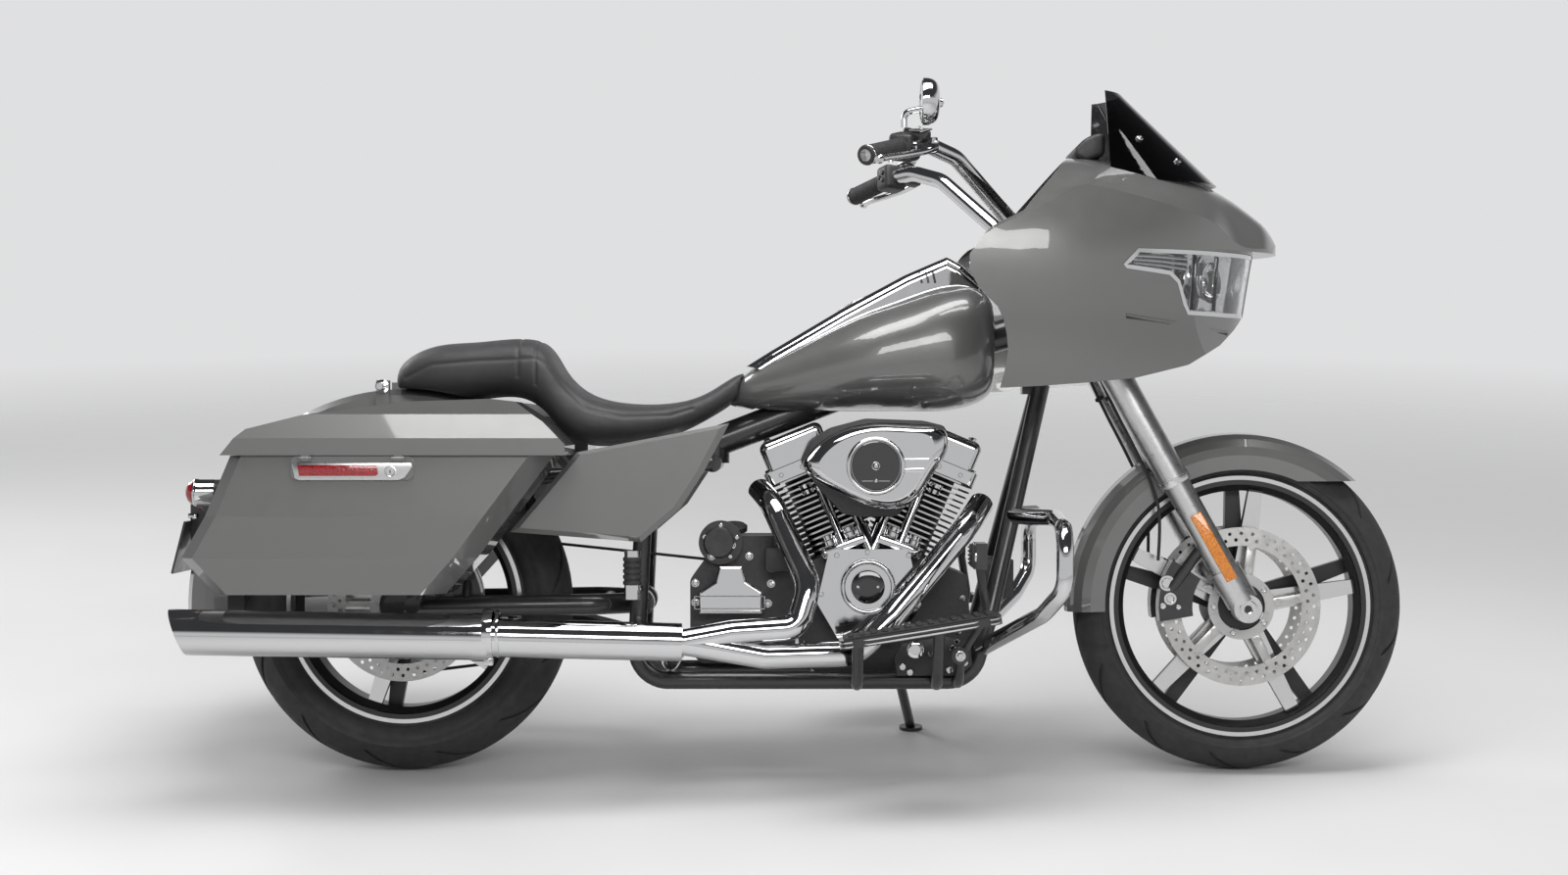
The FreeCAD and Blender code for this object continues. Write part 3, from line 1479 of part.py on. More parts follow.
def tank_console():
    points = side_points(console_shares, *console_box())
    body = side_plate(points, -console_half_width, 2 * console_half_width)
    sides = [e for e in body.Edges if abs(abs(e.CenterOfMass.y) - console_half_width) < seat_gap]
    body = body.makeFillet(console_round, [e for e in sides
                                           if e.CenterOfMass.z > console_top_z(e.CenterOfMass.x) - console_round])
    body = body.cut(tank_body()).cut(tank_tunnel())
    well = in_door_place(rod(vec(0, 0, -door_well), vec(0, 0, tank_height), door_radius + door_gap))
    hinge = door_hinge_point()
    half = door_radius * door_notch_share
    notch = in_door_place(block(vec(0, -half, -door_well), vec(hinge.x + door_pin_radius * 3, half,
                                                               tank_height)))
    reach = vec(0, half + cut_over, 0)
    pin = in_door_place(rod(hinge - reach, hinge + reach, door_pin_radius))
    body = body.cut(well).cut(notch)
    return [fused([max(body.Solids, key=lambda s: s.Volume), pin])]


def fuel_door():
    lid = rod(vec(0, 0, -door_thickness), vec(0, 0, 0), door_radius)
    hinge = door_hinge_point()
    half = door_radius / 3 - door_gap
    tab = block(vec(0, -half, -door_thickness), vec(hinge.x, half, 0))
    barrel = rod(hinge - vec(0, half, 0), hinge + vec(0, half, 0), door_thickness / 2)
    bore = rod(hinge - vec(0, door_radius, 0), hinge + vec(0, door_radius, 0),
               door_pin_radius + running_gap)
    return [in_door_place(fused([lid, tab, barrel]).cut(bore))]


def seat():
    wires = []
    for share, low, high, half in seat_stations():
        wires.append(cross_section(seat_x + share * seat_length, low, high, half, seat_power))
    body = loft(wires)
    body = body.cut(rod(rear_axle - vec(0, bag_outer_y, 0), rear_axle + vec(0, bag_outer_y, 0),
                        rear_fender_radius + seat_gap))
    grown = station_loft(tank_stations_share, tank_x, tank_x + tank_length, tank_z, tank_height,
                         tank_half_width,
                         tank_power, -seat_tank_gap)
    body = body.cut(grown)
    console = side_plate(side_points(console_shares, *console_box()),
                         -console_half_width - seat_tank_gap, 2 * (console_half_width + seat_tank_gap))
    body = body.cut(console)
    return [max(body.Solids, key=lambda s: s.Volume)]


def seat_stations():
    return [(share, seat_z + low * seat_height, seat_z + high * seat_height, half * seat_half_width)
            for share, low, high, half in seat_stations_share]


# Rear bodywork

def rear_fender():
    outer = rear_fender_radius
    half = rear_fender_half_width
    wall = rear_fender_wall
    low = outer - rear_fender_skirt
    bend = rear_fender_round
    outline_out = [(low, half), (outer - bend, half), (outer - bend * 0.3, half - bend * 0.3),
                   (outer, half - bend)]
    outline_out += [(r, -y) for r, y in reversed(outline_out)]
    outline_in = [(low, half - wall), (outer - bend, half - wall),
                  (outer - bend * 0.3 - wall * 0.7, half - bend * 0.3 - wall * 0.7),
                  (outer - wall, half - bend)]
    outline_in += [(r, -y) for r, y in reversed(outline_in)]
    ring = wheel_ring(outline_out + list(reversed(outline_in)), rear_axle, -rear_fender_sweep)
    ring = turned(ring, rear_axle, leftward, -rear_fender_start)
    # It bolts to both seat rails
    posts = []
    for x in (rear_fender_post_x, seat_rail_rear_x + seat_tube_radius):
        point = seat_rail_point(x)
        posts += both_sides(rod(vec(x, half - wall, point.z),
                                vec(x, seat_rail_y - seat_tube_radius * 0.9,
                                    point.z), seat_tube_radius * 0.7))
    trim = []
    for side in (-1, 1):
        rail = rod(seat_rail_point(backbone_rear_x), seat_rail_point(seat_rail_rear_x - cut_over),
                   seat_tube_radius + seat_gap)
        trim.append(rail if side > 0 else mirrored(rail))
    # Its struts carry the docking studs for a rack or a backrest
    studs = []
    for side in (-1, 1):
        foot = vec(stud_x, side * strut_y, stud_z)
        low_y, high_y = sorted((side * (half - 2 * wall), side * strut_y))
        studs.append(block(vec(stud_x - strut_width / 2, low_y, strut_low_z),
                           vec(stud_x + strut_width / 2, high_y, stud_z + strut_width / 2)))
        studs.append(rod(foot - vec(0, side * wall, 0), foot + vec(0, side * stud_length, 0),
                         stud_radius))
    body = fused([ring] + posts + studs)
    for rail in trim:
        body = body.cut(rail)
    return [body]


def side_covers():
    points = side_points(side_cover_shares, side_cover_x, side_cover_z, side_cover_length,
                         side_cover_height)
    middle = vec(side_cover_x + side_cover_length / 2, 0, side_cover_z + side_cover_height / 2)

    def ring(y, inset):
        share = 1 - 2 * inset / side_cover_height
        return polygon([vec(middle.x + (p.x - middle.x) * share, y,
                            middle.z + (p.z - middle.z) * share) for p in points])
    inner = side_cover_y - side_cover_depth
    body = loft([ring(inner, 0), ring(side_cover_y - side_cover_depth * 0.4, 0),
                 ring(side_cover_y, side_cover_bevel)], True)
    posts = []
    for share in side_cover_post_shares:
        x = side_cover_x + share * side_cover_length
        z = seat_rail_point(x).z
        posts.append(rod(vec(x, seat_rail_y + seat_tube_radius + seat_gap, z),
                         vec(x, inner + side_cover_depth / 4, z), side_cover_post_radius))
    return both_sides(fused([body] + posts))


# Saddlebags

def bag_ring(z, rear_x, front_x, inner_y, outer_y, taper, radius, inset):
    rear, front = rear_x + inset, front_x - inset
    low, high = inner_y + inset, outer_y - inset
    corner = radius - inset / 2
    cut_x = corner
    points = [vec(rear + cut_x, low, z), vec(front - cut_x, low, z), vec(front, low + corner, z),
              vec(front - taper * 0.1, high - corner - taper * 0.6, z), vec(front - taper, high,
                                                                            z), vec(rear + cut_x, high,
                                                                                    z),
              vec(rear, high - corner, z), vec(rear, low + corner, z)]
    return polygon(points)


def bag_form(inset, low_extra=0.0, top=None):
    levels = [(bag_low_z + inset - low_extra, bag_low_rear_x, bag_low_front_x, bag_inner_y,
               bag_outer_y - bag_low_inset),
              (bag_fold_z, bag_rear_x, bag_fold_front_x, bag_inner_y, bag_outer_y),
              (bag_crease_z, bag_crease_rear_x, bag_crease_front_x, bag_inner_y, bag_outer_y),
              (bag_seam_z + (cut_over if inset else 0), bag_top_rear_x, bag_top_front_x, bag_inner_y,
               bag_outer_y - bag_crease_inset)]
    return loft([bag_ring(z, rear, front, inner, outer, bag_front_taper, bag_round, inset)
                 for z, rear, front, inner, outer in levels], True)


def saddlebag():
    body = bag_form(0.0).cut(bag_form(bag_wall))
    # Posts reach in to the seat rail, above the muffler
    posts = []
    for x in (seat_rail_rear_x * 0.8, -seat_rail_rear_x * 0.6):
        z = seat_rail_point(x).z
        posts.append(rod(vec(x, seat_rail_y + seat_tube_radius + seat_gap, z),
                         vec(x, bag_inner_y + bag_wall / 2, z), bag_post_radius))
    return fused([body, hinge_plate()] + posts + lid_hinges(False))


# The bright plate on the outer face, which carries the reflector and the lid's hinge
def hinge_plate():
    y = bag_outer_y - bag_crease_inset
    low, high = hinge_plate_low_z, hinge_plate_high_z
    base = block(vec(hinge_plate_x, y - bag_wall, low),
                 vec(hinge_plate_x + hinge_plate_length, y + hinge_plate_depth + bag_crease_inset * 0.4, high))
    return rounded_along(base, leftward, hinge_slot_inset)


# Ears and pins of the lid's two hinges, and the knuckles that turn on them
def lid_hinges(knuckles):
    pieces = []
    for share in lid_hinge_shares:
        middle = lid_hinge_point() + vec(share * hinge_plate_length, 0, 0)
        half = vec(lid_knuckle_length / 2, 0, 0)
        if knuckles:
            pieces.append(rod(middle - half, middle + half, lid_knuckle_radius))
            pieces.append(block(middle - half - vec(0, lid_knuckle_radius, 0),
                                middle + half + vec(0, 0, lid_hinge_drop + bag_wall)))
        else:
            ear = vec(hinge_ear, 0, 0)
            gap = vec(lid_gap, 0, 0)
            pieces.append(rod(middle - half - gap - ear, middle + half + gap + ear, lid_pin_radius))
            for side in (-1, 1):
                inner = middle + (half + gap) * side
                outer = inner + ear * side
                pieces.append(rod(inner, outer, lid_knuckle_radius))
                low, high = (inner, outer) if side > 0 else (outer, inner)
                pieces.append(block(low + vec(0, -hinge_plate_depth - bag_wall, -lid_knuckle_radius),
                                    high))
    return pieces


def lid_form(inset):
    side = side_points(lid_shares, lid_x, bag_seam_z + lid_gap, lid_length, lid_height)
    width = bag_outer_y - bag_inner_y + 2 * lid_overhang
    cross = []
    for share_y, share_z in lid_cross_shares:
        cross.append(vec(0, bag_inner_y - lid_overhang + share_y * width,
                         bag_seam_z + lid_gap + share_z * lid_height))
    side_wire = polygon([vec(p.x, 0, p.z) for p in side])
    cross_wire = polygon([vec(lid_x - cut_over, p.y, p.z) for p in cross])
    if inset:
        side_wire = side_wire.makeOffset2D(-inset, 2)
        cross_wire = cross_wire.makeOffset2D(-inset, 2)
    first = Part.Face(side_wire).extrude(vec(0, 2 * bag_outer_y, 0))
    second = Part.Face(cross_wire).extrude(vec(lid_length + 2 * cut_over, 0, 0))
    return first.common(second)


def lid_hinge_point():
    return vec(hinge_plate_x, bag_outer_y + hinge_plate_depth, bag_seam_z - lid_hinge_drop)


def saddlebag_lid():
    outer = lid_form(0.0)
    inner = lid_form(bag_wall)
    # The hollow opens downwards
    below = moved(inner, vec(0, 0, -bag_wall - cut_over))
    lid = fused([outer.cut(inner).cut(below)] + lid_hinges(True))
    bore = lid_hinge_point()
    reach = vec(hinge_plate_length, 0, 0)
    return lid.cut(rod(bore - reach, bore + reach, lid_pin_radius + running_gap))


# Fairing

def fairing_x(share):
    return fairing_nose_x - share * (fairing_nose_x - fairing_rear_x)


def fairing_z(share):
    return fairing_low_z + share * fairing_height


# A closed outline seen from above: a smooth nose through the shares, and a straight rear
def plan_ring(z, front, rear, half, shares):
    points = [vec(front - share_x * (front - rear), share_y * half, z) for share_x, share_y in shares]
    curve = Part.BSplineCurve()
    curve.interpolate([vec(p.x, -p.y, p.z) for p in reversed(points[1:])] + points)
    return Part.Wire([curve.toShape(), Part.makeLine(points[-1], vec(points[-1].x, -points[-1].y, z))])


# The arched top over everything below it, which cuts the walls along the crease
def fairing_arch(inset):
    wires = []
    for share_x, share_top, share_crease, share_half in fairing_arch_shares:
        x = fairing_x(share_x)
        top, crease = fairing_z(share_top) - inset, fairing_z(share_crease) - inset
        half = share_half * fairing_half_width
        outer = half + fairing_flare
        low = crease - (top - crease) * (2 * fairing_flare / half)
        shoulder = fairing_shoulder_share * half
        shoulder_z = crease + fairing_shoulder_rise_share * (top - crease)
        ridge = [vec(x, -outer, low), vec(x, -half, crease), vec(x, -shoulder, shoulder_z),
                 vec(x, 0, top),
                 vec(x, shoulder, shoulder_z), vec(x, half, crease), vec(x, outer, low)]
        curve = Part.BSplineCurve()
        curve.interpolate(ridge)
        foot = fairing_low_z - fairing_height
        wires.append(Part.Wire([curve.toShape(), Part.makeLine(vec(x, outer, low), vec(x, outer, foot)),
                                Part.makeLine(vec(x, outer, foot), vec(x, -outer, foot)),
                                Part.makeLine(vec(x, -outer, foot), vec(x, -outer, low))]))
    return loft(wires)


# What stands in front of the face under the nose, and is cut away
def brow_recess(inset):
    levels = ((fairing_z(-0.2), face_low_x), (brow_z + cut_over, face_high_x))
    face = loft([plan_ring(z, front - inset, fairing_rear_x, fairing_half_width - inset, face_plan_shares)
                 for z, front in levels], True)
    room = block(vec(fairing_floor_front_x - fairing_flare, -fairing_half_width,
                     fairing_low_z - fairing_height / 2),
                 vec(fairing_nose_x + fairing_flare, fairing_half_width, brow_z + inset))
    return room.cut(face)


def fairing_form(inset):
    rings = []
    for share_z, share_back, share_width in fairing_level_shares:
        rings.append(plan_ring(fairing_z(share_z), fairing_x(share_back) - inset, fairing_x(1.02),
                               share_width * fairing_half_width - inset, fairing_plan_shares))
    walls = loft(rings)
    return walls.cut(brow_recess(inset)).common(fairing_arch(inset))


def lamp_prism(inset):
    points = side_points(lamp_shares, lamp_x, lamp_z, lamp_length, lamp_height)
    wire = polygon([vec(p.x, lamp_strip_half_width + inset, p.z) for p in points])
    if inset:
        wire = wire.makeOffset2D(-inset, 2)
    return Part.Face(wire).extrude(vec(0, fairing_half_width, 0))


def fairing_shell():
    shell = fairing_form(0.0).cut(fairing_form(fairing_wall))
    trim = [vec(fairing_rear_x + share_x * (fairing_nose_x - fairing_rear_x), -2 * fairing_half_width,
                fairing_z(share_z)) for share_x, share_z in fairing_trim_shares]
    shell = shell.common(plate(trim, vec(0, 4 * fairing_half_width, 0)))
    # Open below for the fork
    shell = shell.cut(block(vec(fairing_rear_x - cut_over, -fairing_floor_half_width, 0),
                            vec(fairing_floor_front_x, fairing_floor_half_width, dash_low_z)))
    for prism in both_sides(lamp_prism(0.0)):
        shell = shell.cut(prism)
    return [max(shell.Solids, key=lambda s: s.Volume)]


def headlamp():
    outer = fairing_form(lamp_sink)
    inner = fairing_form(lamp_sink + lamp_wall)
    shell = outer.cut(inner)
    lens = shell.common(lamp_prism(lamp_gap))
    lens = max(lens.Solids, key=lambda s: s.Volume)
    return both_sides(lens)


# A thin crescent at one height: an outer and an inner arc joined at the two rear corners
def shield_ring(share):
    z = shield_low_z + share * (shield_tip_z - shield_low_z)
    front = shield_low_front_x + share * (shield_tip_x - shield_low_front_x)
    rear = shield_low_rear_x + share * (shield_tip_rear_x - shield_low_rear_x)
    half = shield_low_half_width + share * (shield_tip_half_width - shield_low_half_width)
    wall = shield_wall
    outer = Part.Arc(vec(rear, half, z), vec(front, 0, z), vec(rear, -half, z)).toShape()
    inner = Part.Arc(vec(rear, -half + wall, z), vec(front - wall, 0, z),
                     vec(rear, half - wall, z)).toShape()
    return Part.Wire([outer, Part.makeLine(vec(rear, -half, z), vec(rear, -half + wall, z)), inner,
                      Part.makeLine(vec(rear, half - wall, z), vec(rear, half, z))])


def windshield():
    shield = loft([shield_ring(share) for share in (0.0, 1.0)], True)
    shield = shield.cut(fairing_form(-seat_gap))
    return [max(shield.Solids, key=lambda s: s.Volume)]


def inner_fairing():
    room = fairing_form(fairing_wall + seat_gap)
    reach = 2 * fairing_half_width
    slab = block(vec(dash_x, -reach, dash_low_z), vec(dash_x + dash_thickness, reach, 2 * dash_notch_z))
    notch = block(vec(dash_x - cut_over, -dash_notch_half_width, 0),
                  vec(dash_x + dash_thickness + cut_over, dash_notch_half_width, dash_notch_z))
    panel = room.common(slab).cut(notch)
    rings = []
    pods = ((gauge_y, gauge_z, gauge_radius, gauge_depth), (speaker_y, speaker_z, speaker_radius,
                                                            speaker_depth))
    for side in (-1, 1):
        for y, z, radius, depth in pods:
            face = vec(dash_x, side * y, z)
            pod = rod(face + vec(dash_thickness / 2, 0, 0), face - vec(depth, 0, 0), radius)
            well = rod(face - vec(depth * 0.7, 0, 0), face - vec(depth + cut_over, 0, 0), radius * 0.86)
            rings.append(pod.cut(well).common(room))
    return [fused([panel] + rings)]


# Tubes that carry the fairing run from the neck to the inside of the nose
def fairing_bracket():
    low, high = neck_ends()
    start = steering_point(neck_height)
    tubes = []
    for side in (-1, 1):
        route = [start, vec(bracket_knee_x, side * bracket_knee_y, bracket_knee_z),
                 vec(bracket_tip_x, side * bracket_knee_y, bracket_tip_z)]
        tubes.append(tube(route, bracket_radius, frame_bend))
    cross = rod(vec(bracket_knee_x, -bracket_knee_y, bracket_knee_z),
                vec(bracket_knee_x, bracket_knee_y, bracket_knee_z),
                bracket_radius * 0.8)
    whole = fused(tubes + [cross])
    whole = whole.cut(rod(low, high, neck_radius - seat_gap))
    return max(whole.common(fairing_form(fairing_wall)).Solids, key=lambda s: s.Volume)


# Foot controls

def footboards():
    corner = vec(board_rear_x, board_inner_y, board_rear_z - board_thickness)
    board = block(corner, corner + vec(board_length, board_width, board_thickness))
    outer = [e for e in board.Edges if abs(e.CenterOfMass.z - corner.z - board_thickness / 2) < seat_gap]
    board = board.makeFillet(board_round,
                             [e for e in outer if e.CenterOfMass.y > corner.y + board_width / 2])
    board = turned(board, vec(board_rear_x, 0, board_rear_z), leftward, -board_tilt)
    pieces = [board]
    for share in board_bracket_shares:
        x = board_rear_x + share * board_length
        z = board_rear_z + (x - board_rear_x) * math.tan(math.radians(board_tilt)) - board_thickness
        end_y = board_inner_y + board_width * 0.3
        pieces.append(tube([vec(x, rail_y + frame_tube_radius * 0.9, rail_z),
                            vec(x, board_inner_y - board_round, rail_z),
                            vec(x, end_y, z + board_thickness / 3)], board_bracket_radius, frame_bend))
    return both_sides(seated_on_tubes(fused(pieces), cradle_tubes(frame_tube_radius + seat_gap)))


def pedals():
    pad_low = vec(pedal_pad_x - pedal_pad_depth / 2, pedal_pivot_y, pedal_pad_z - pedal_pad_height / 2)
    pad = block(pad_low, pad_low + vec(pedal_pad_depth, pedal_pad_width, pedal_pad_height))
    pad = pad.makeFillet(pedal_radius * 0.8,
                         [e for e in pad.Edges if e.CenterOfMass.x < pedal_pad_x - pedal_pad_depth / 3])
    lever = tube([vec(pedal_pivot_x, pedal_pivot_y, pedal_pivot_z),
                  vec(pedal_knee_x, pedal_pivot_y, pedal_knee_z),
                  vec(pedal_pad_x, pedal_pivot_y + pedal_radius, pedal_pad_z)], pedal_radius, frame_bend)
    pivot = vec(pedal_pivot_x, pedal_pivot_y, pedal_pivot_z)
    boss = rod(pivot - vec(0, pedal_radius * 2, 0), pivot + vec(0, pedal_radius * 2, 0), pedal_radius * 2)
    arm = tube([vec(pedal_pivot_x, rail_y + frame_tube_radius * 0.9, rail_z),
                vec(pedal_pivot_x, pedal_pivot_y * 0.85, rail_z),
                pivot], pedal_radius * 1.2, frame_bend)
    return both_sides(seated_on_tubes(fused([pad, lever, boss, arm]),
                                      cradle_tubes(frame_tube_radius + seat_gap)))


def passenger_pegs():
    share = (peg_low_z - rail_z) / (seat_rail_z - rail_z)
    inner = rail_y + share * (seat_rail_y - rail_y)
    upright = vec(rail_rear_x + share * (upright_x - rail_rear_x), inner, peg_low_z)
    foot = vec(peg_x, peg_y, peg_low_z)
    arm = rod(upright + vec(0, frame_tube_radius * 0.6, 0), foot, peg_radius * 0.6)
    peg = rod(foot - vec(0, 0, peg_radius), foot + vec(0, 0, peg_length), peg_radius)
    return both_sides(seated_on_tubes(fused([arm, peg]), cradle_tubes(frame_tube_radius + seat_gap)))


# Rear suspension and drive

def swingarm():
    pivot = swingarm_pivot()
    arms = []
    for side in (-1, 1):
        hub = pivot + vec(0, side * swingarm_hub_y, 0)
        knee = vec(swingarm_knee_x, side * swingarm_y, pivot.z)
        axle_end = rear_axle + vec(0, side * swingarm_y, 0)
        arm = tube([hub, knee, axle_end], swingarm_radius, frame_bend)
        boss = rod(hub - vec(0, swingarm_radius, 0), hub + vec(0, swingarm_radius, 0),
                   frame_tube_radius + swingarm_radius / 2)
        end_half = vec(0, swingarm_radius * 0.9, 0)
        end = rod(axle_end - end_half, axle_end + end_half, swingarm_radius * 1.5)
        inner_face = pulley_offset + pulley_width if side > 0 else rear_disc_offset + disc_thickness
        spacer = rod(rear_axle + vec(0, side * (inner_face + clear_gap), 0), axle_end, axle_radius * 1.3)
        arms += [arm, boss, end, spacer]
    reach = vec(0, swingarm_y + swingarm_radius, 0)
    axle = rod(rear_axle - reach, rear_axle + reach, axle_radius)
    bridge = rod(vec(swingarm_knee_x + swingarm_radius, -swingarm_y, pivot.z),
                 vec(swingarm_knee_x + swingarm_radius, swingarm_y, pivot.z), swingarm_radius * 0.7)
    whole = fused(arms + [axle, bridge])
    return [whole.cut(rod(pivot - reach, pivot + reach, frame_tube_radius + seat_gap))]


def swingarm_room():
    axle_end = rear_axle + vec(0, swingarm_y, 0)
    knee = vec(swingarm_knee_x, swingarm_y, swingarm_pivot().z)
    reach = vec(0, swingarm_radius + seat_gap, 0)
    return rod(axle_end, knee, swingarm_radius + seat_gap).fuse(
        rod(axle_end - reach, axle_end + reach, swingarm_radius * 1.5 + seat_gap))


def shocks():
    foot = vec(shock_foot_x, shock_y, shock_foot_z)
    head = vec(shock_head_x, shock_y, shock_head_z)
    along = unit(head - foot)
    body = rod(foot + along * (shock_radius / 2), head - along * (shock_radius / 2), shock_radius)
    eyes = [rod(end - vec(0, shock_radius, 0), end + vec(0, shock_radius, 0),
                shock_radius) for end in (foot, head)]
    low_pin = rod(vec(foot.x, swingarm_y, foot.z), foot, shock_radius / 2)
    high_pin = rod(vec(head.x, seat_rail_y, head.z), head, shock_radius / 2)
    whole = fused([body, low_pin, high_pin] + eyes)
    return both_sides(seated_on_tubes(whole, seat_rails(seat_tube_radius + seat_gap) + [swingarm_room()]))


def drive_belt():
    y = pulley_offset + clear_gap / 2
    width = pulley_width - clear_gap
    front = vec(sprocket_x, y, sprocket_z)
    rear = rear_axle + vec(0, y, 0)

    def loop(rear_radius, front_radius):
        span = (front - rear).Length
        lean = (rear_radius - front_radius) / span
        along = unit(front - rear)
        square = vec(-along.z, 0, along.x)
        rise = math.sqrt(1 - lean ** 2)
        top = along * lean + square * rise
        low = along * lean - square * rise
        corners = [rear + top * rear_radius, front + top * front_radius, front + low * front_radius,
                   rear + low * rear_radius]
        ends = [rod(rear, rear + vec(0, width, 0), rear_radius),
                rod(front, front + vec(0, width, 0), front_radius)]
        return fused(ends + [plate(corners, vec(0, width, 0))])
    return [loop(pulley_radius + belt_gap + belt_thickness,
                 sprocket_radius + belt_gap + belt_thickness).cut(
        loop(pulley_radius + belt_gap, sprocket_radius + belt_gap))]


def sprocket():
    y = gearbox_left_width - cut_over
    return rod(vec(sprocket_x, y, sprocket_z), vec(sprocket_x, primary_y - seat_gap, sprocket_z),
               axle_radius * 2).fuse(
        rod(vec(sprocket_x, pulley_offset + clear_gap / 2, sprocket_z),
            vec(sprocket_x, pulley_offset + pulley_width - clear_gap / 2, sprocket_z), sprocket_radius))


def pulley():
    ring = pipe_ring(rear_axle + vec(0, pulley_offset, 0), rear_axle + vec(0,
                                                                           pulley_offset + pulley_width, 0),
                     pulley_radius, hub_radius + seat_gap)
    rim_depth = pulley_width * 0.3
    well = pipe_ring(rear_axle + vec(0, pulley_offset + rim_depth, 0),
                     rear_axle + vec(0, pulley_offset + pulley_width + cut_over,
                                     0), pulley_radius * 0.86, hub_radius * 1.4)
    # A boss carries it on the end of the hub
    boss = pipe_ring(rear_axle + vec(0, rear_disc_offset, 0),
                     rear_axle + vec(0, pulley_offset + rim_depth, 0),
                     disc_hub_radius, axle_radius + clear_gap)
    return fused([ring.cut(well), boss])


def rear_caliper():
    low = rear_disc_radius - rear_caliper_width
    high = rear_disc_radius + caliper_slot
    sweep = math.degrees(rear_caliper_length / rear_disc_radius)
    body = wheel_ring([(low, 0), (high, 0), (high, rear_caliper_depth), (low, rear_caliper_depth)],
                      rear_axle, -sweep)
    body = turned(body, rear_axle, leftward, -rear_caliper_angle + sweep / 2)
    body = moved(body, vec(0, rear_disc_offset + disc_thickness / 2 - rear_caliper_depth / 2, 0))
    slot = wheel_ring([(hub_radius, 0), (rear_disc_radius + clear_gap, 0),
                       (rear_disc_radius + clear_gap, disc_thickness + 2 * clear_gap),
                       (hub_radius, disc_thickness + 2 * clear_gap)], rear_axle)
    body = body.cut(moved(slot, vec(0, rear_disc_offset - clear_gap, 0)))
    middle = rear_disc_radius - rear_caliper_width / 4
    spot = rear_axle + vec(math.cos(math.radians(rear_caliper_angle)) * middle, 0,
                           math.sin(math.radians(rear_caliper_angle)) * middle)
    y = rear_disc_offset + rear_caliper_depth / 2
    lug = rod(vec(spot.x, y - caliper_slot / 2, spot.z), vec(spot.x, swingarm_y, swingarm_pivot().z),
              caliper_slot)
    return [mirrored(seated_on_tubes(fused([body, lug]), [swingarm_room()]))]


def rear_lamps():
    lamp = block(vec(tail_lamp_rear_x, -tail_lamp_half_width, tail_lamp_low_z),
                 vec(0, tail_lamp_half_width, tail_lamp_low_z + tail_lamp_height))
    rims = [e for e in lamp.Edges if e.CenterOfMass.x < tail_lamp_rear_x + seat_gap]
    lamp = lamp.makeFillet(tail_lamp_height / 4, rims)
    across = vec(0, signal_y, 0)
    middle = vec(signal_x, 0, signal_z)
    bar_middle = middle + forward * signal_bar_radius
    signals = [rod(bar_middle - across, bar_middle + across, signal_bar_radius)]
    for side in (-1, 1):
        tip = middle + across * side
        signals.append(rod(tip - forward * (signal_length * 0.3), tip + forward * (signal_length * 0.7),
                           signal_radius))
    top = vec(number_plate_top_x, 0, number_plate_top_z)
    blank = block(top + vec(0, -number_plate_width / 2, -number_plate_height),
                  top + vec(number_plate_thickness, number_plate_width / 2, 0))
    blank = turned(blank, top, leftward, number_plate_tilt)
    arm = block(top + vec(0, -signal_radius, -number_plate_height * 0.6),
                vec(0, signal_radius, top.z + tail_lamp_height))
    # Everything stays outside the rear fender
    wheel_room = rod(rear_axle - across, rear_axle + across, rear_fender_radius + seat_gap)
    fender_room = block(vec(-rear_fender_radius, -rear_fender_half_width - seat_gap, 0),
                        vec(0, rear_fender_half_width + seat_gap, rear_fender_radius + rear_axle.z))
    whole = fused([blank, fused([lamp, arm]).cut(wheel_room), fused(signals)])
    return whole.cut(fender_room.common(wheel_room)).Solids


# Side stand

def ground_point(x, reach):
    return vec(x, reach * math.cos(math.radians(lean_angle)), reach * math.sin(math.radians(lean_angle)))


def stand_pivot():
    return vec(stand_x, rail_y + frame_tube_radius + stand_boss_gap + stand_boss_width / 2, stand_z)


def side_stand():
    centre = stand_pivot()
    half = vec(0, stand_boss_width / 2, 0)
    boss = rod(centre - half, centre + half, stand_boss_radius)
    up = vec(0, -math.sin(math.radians(lean_angle)), math.cos(math.radians(lean_angle)))
    foot = ground_point(stand_foot_x, stand_foot_reach)
    pad = rod(foot, foot + up * stand_foot_thickness, stand_foot_radius)
    leg = rod(centre - vec(0, 0, stand_boss_radius), foot + up * (stand_foot_thickness / 2),
              stand_leg_radius)
    whole = fused([boss, leg, pad])
    floor = turned(block(vec(0, -wheelbase, -wheelbase), vec(wheelbase * 2, wheelbase, 0)), origin,
                   forward, lean_angle)
    whole = whole.cut(floor)
    return [whole.cut(rod(centre - half * 2, centre + half * 2, stand_pin_radius + running_gap))]


def stand_pin():
    centre = stand_pivot()
    end = centre + vec(0, stand_boss_width / 2 + clear_gap, 0)
    return rod(vec(centre.x, rail_y, centre.z), end, stand_pin_radius).fuse(
        rod(end, end + vec(0, stand_pin_radius / 2, 0), stand_pin_radius * 1.5))


# Assembly

def front_wheel_parts():
    tyre_solid = tyre(front_axle, front_tyre_radius, front_tyre_width, front_crown_rise,
                      front_bead_radius, front_lip_radius, front_rim_width)
    wheel_solid = wheel(front_axle, front_bead_radius, front_lip_radius, front_rim_width,
                        front_disc_offset, front_spoke_angle)
    discs = [disc(front_axle, front_disc_radius, front_disc_band, front_disc_offset, side,
                  front_spoke_angle) for side in (-1, 1)]
    return [tyre_solid], [wheel_solid], discs


def rear_wheel_parts():
    tyre_solid = tyre(rear_axle, rear_tyre_radius, rear_tyre_width, rear_crown_rise, rear_bead_radius,
                      rear_lip_radius, rear_rim_width)
    wheel_solid = wheel(rear_axle, rear_bead_radius, rear_lip_radius, rear_rim_width, rear_disc_offset,
                        rear_spoke_angle)
    drive = disc(rear_axle, rear_disc_radius, rear_disc_band, rear_disc_offset, -1, rear_spoke_angle)
    return [tyre_solid], [wheel_solid], [drive, pulley()]


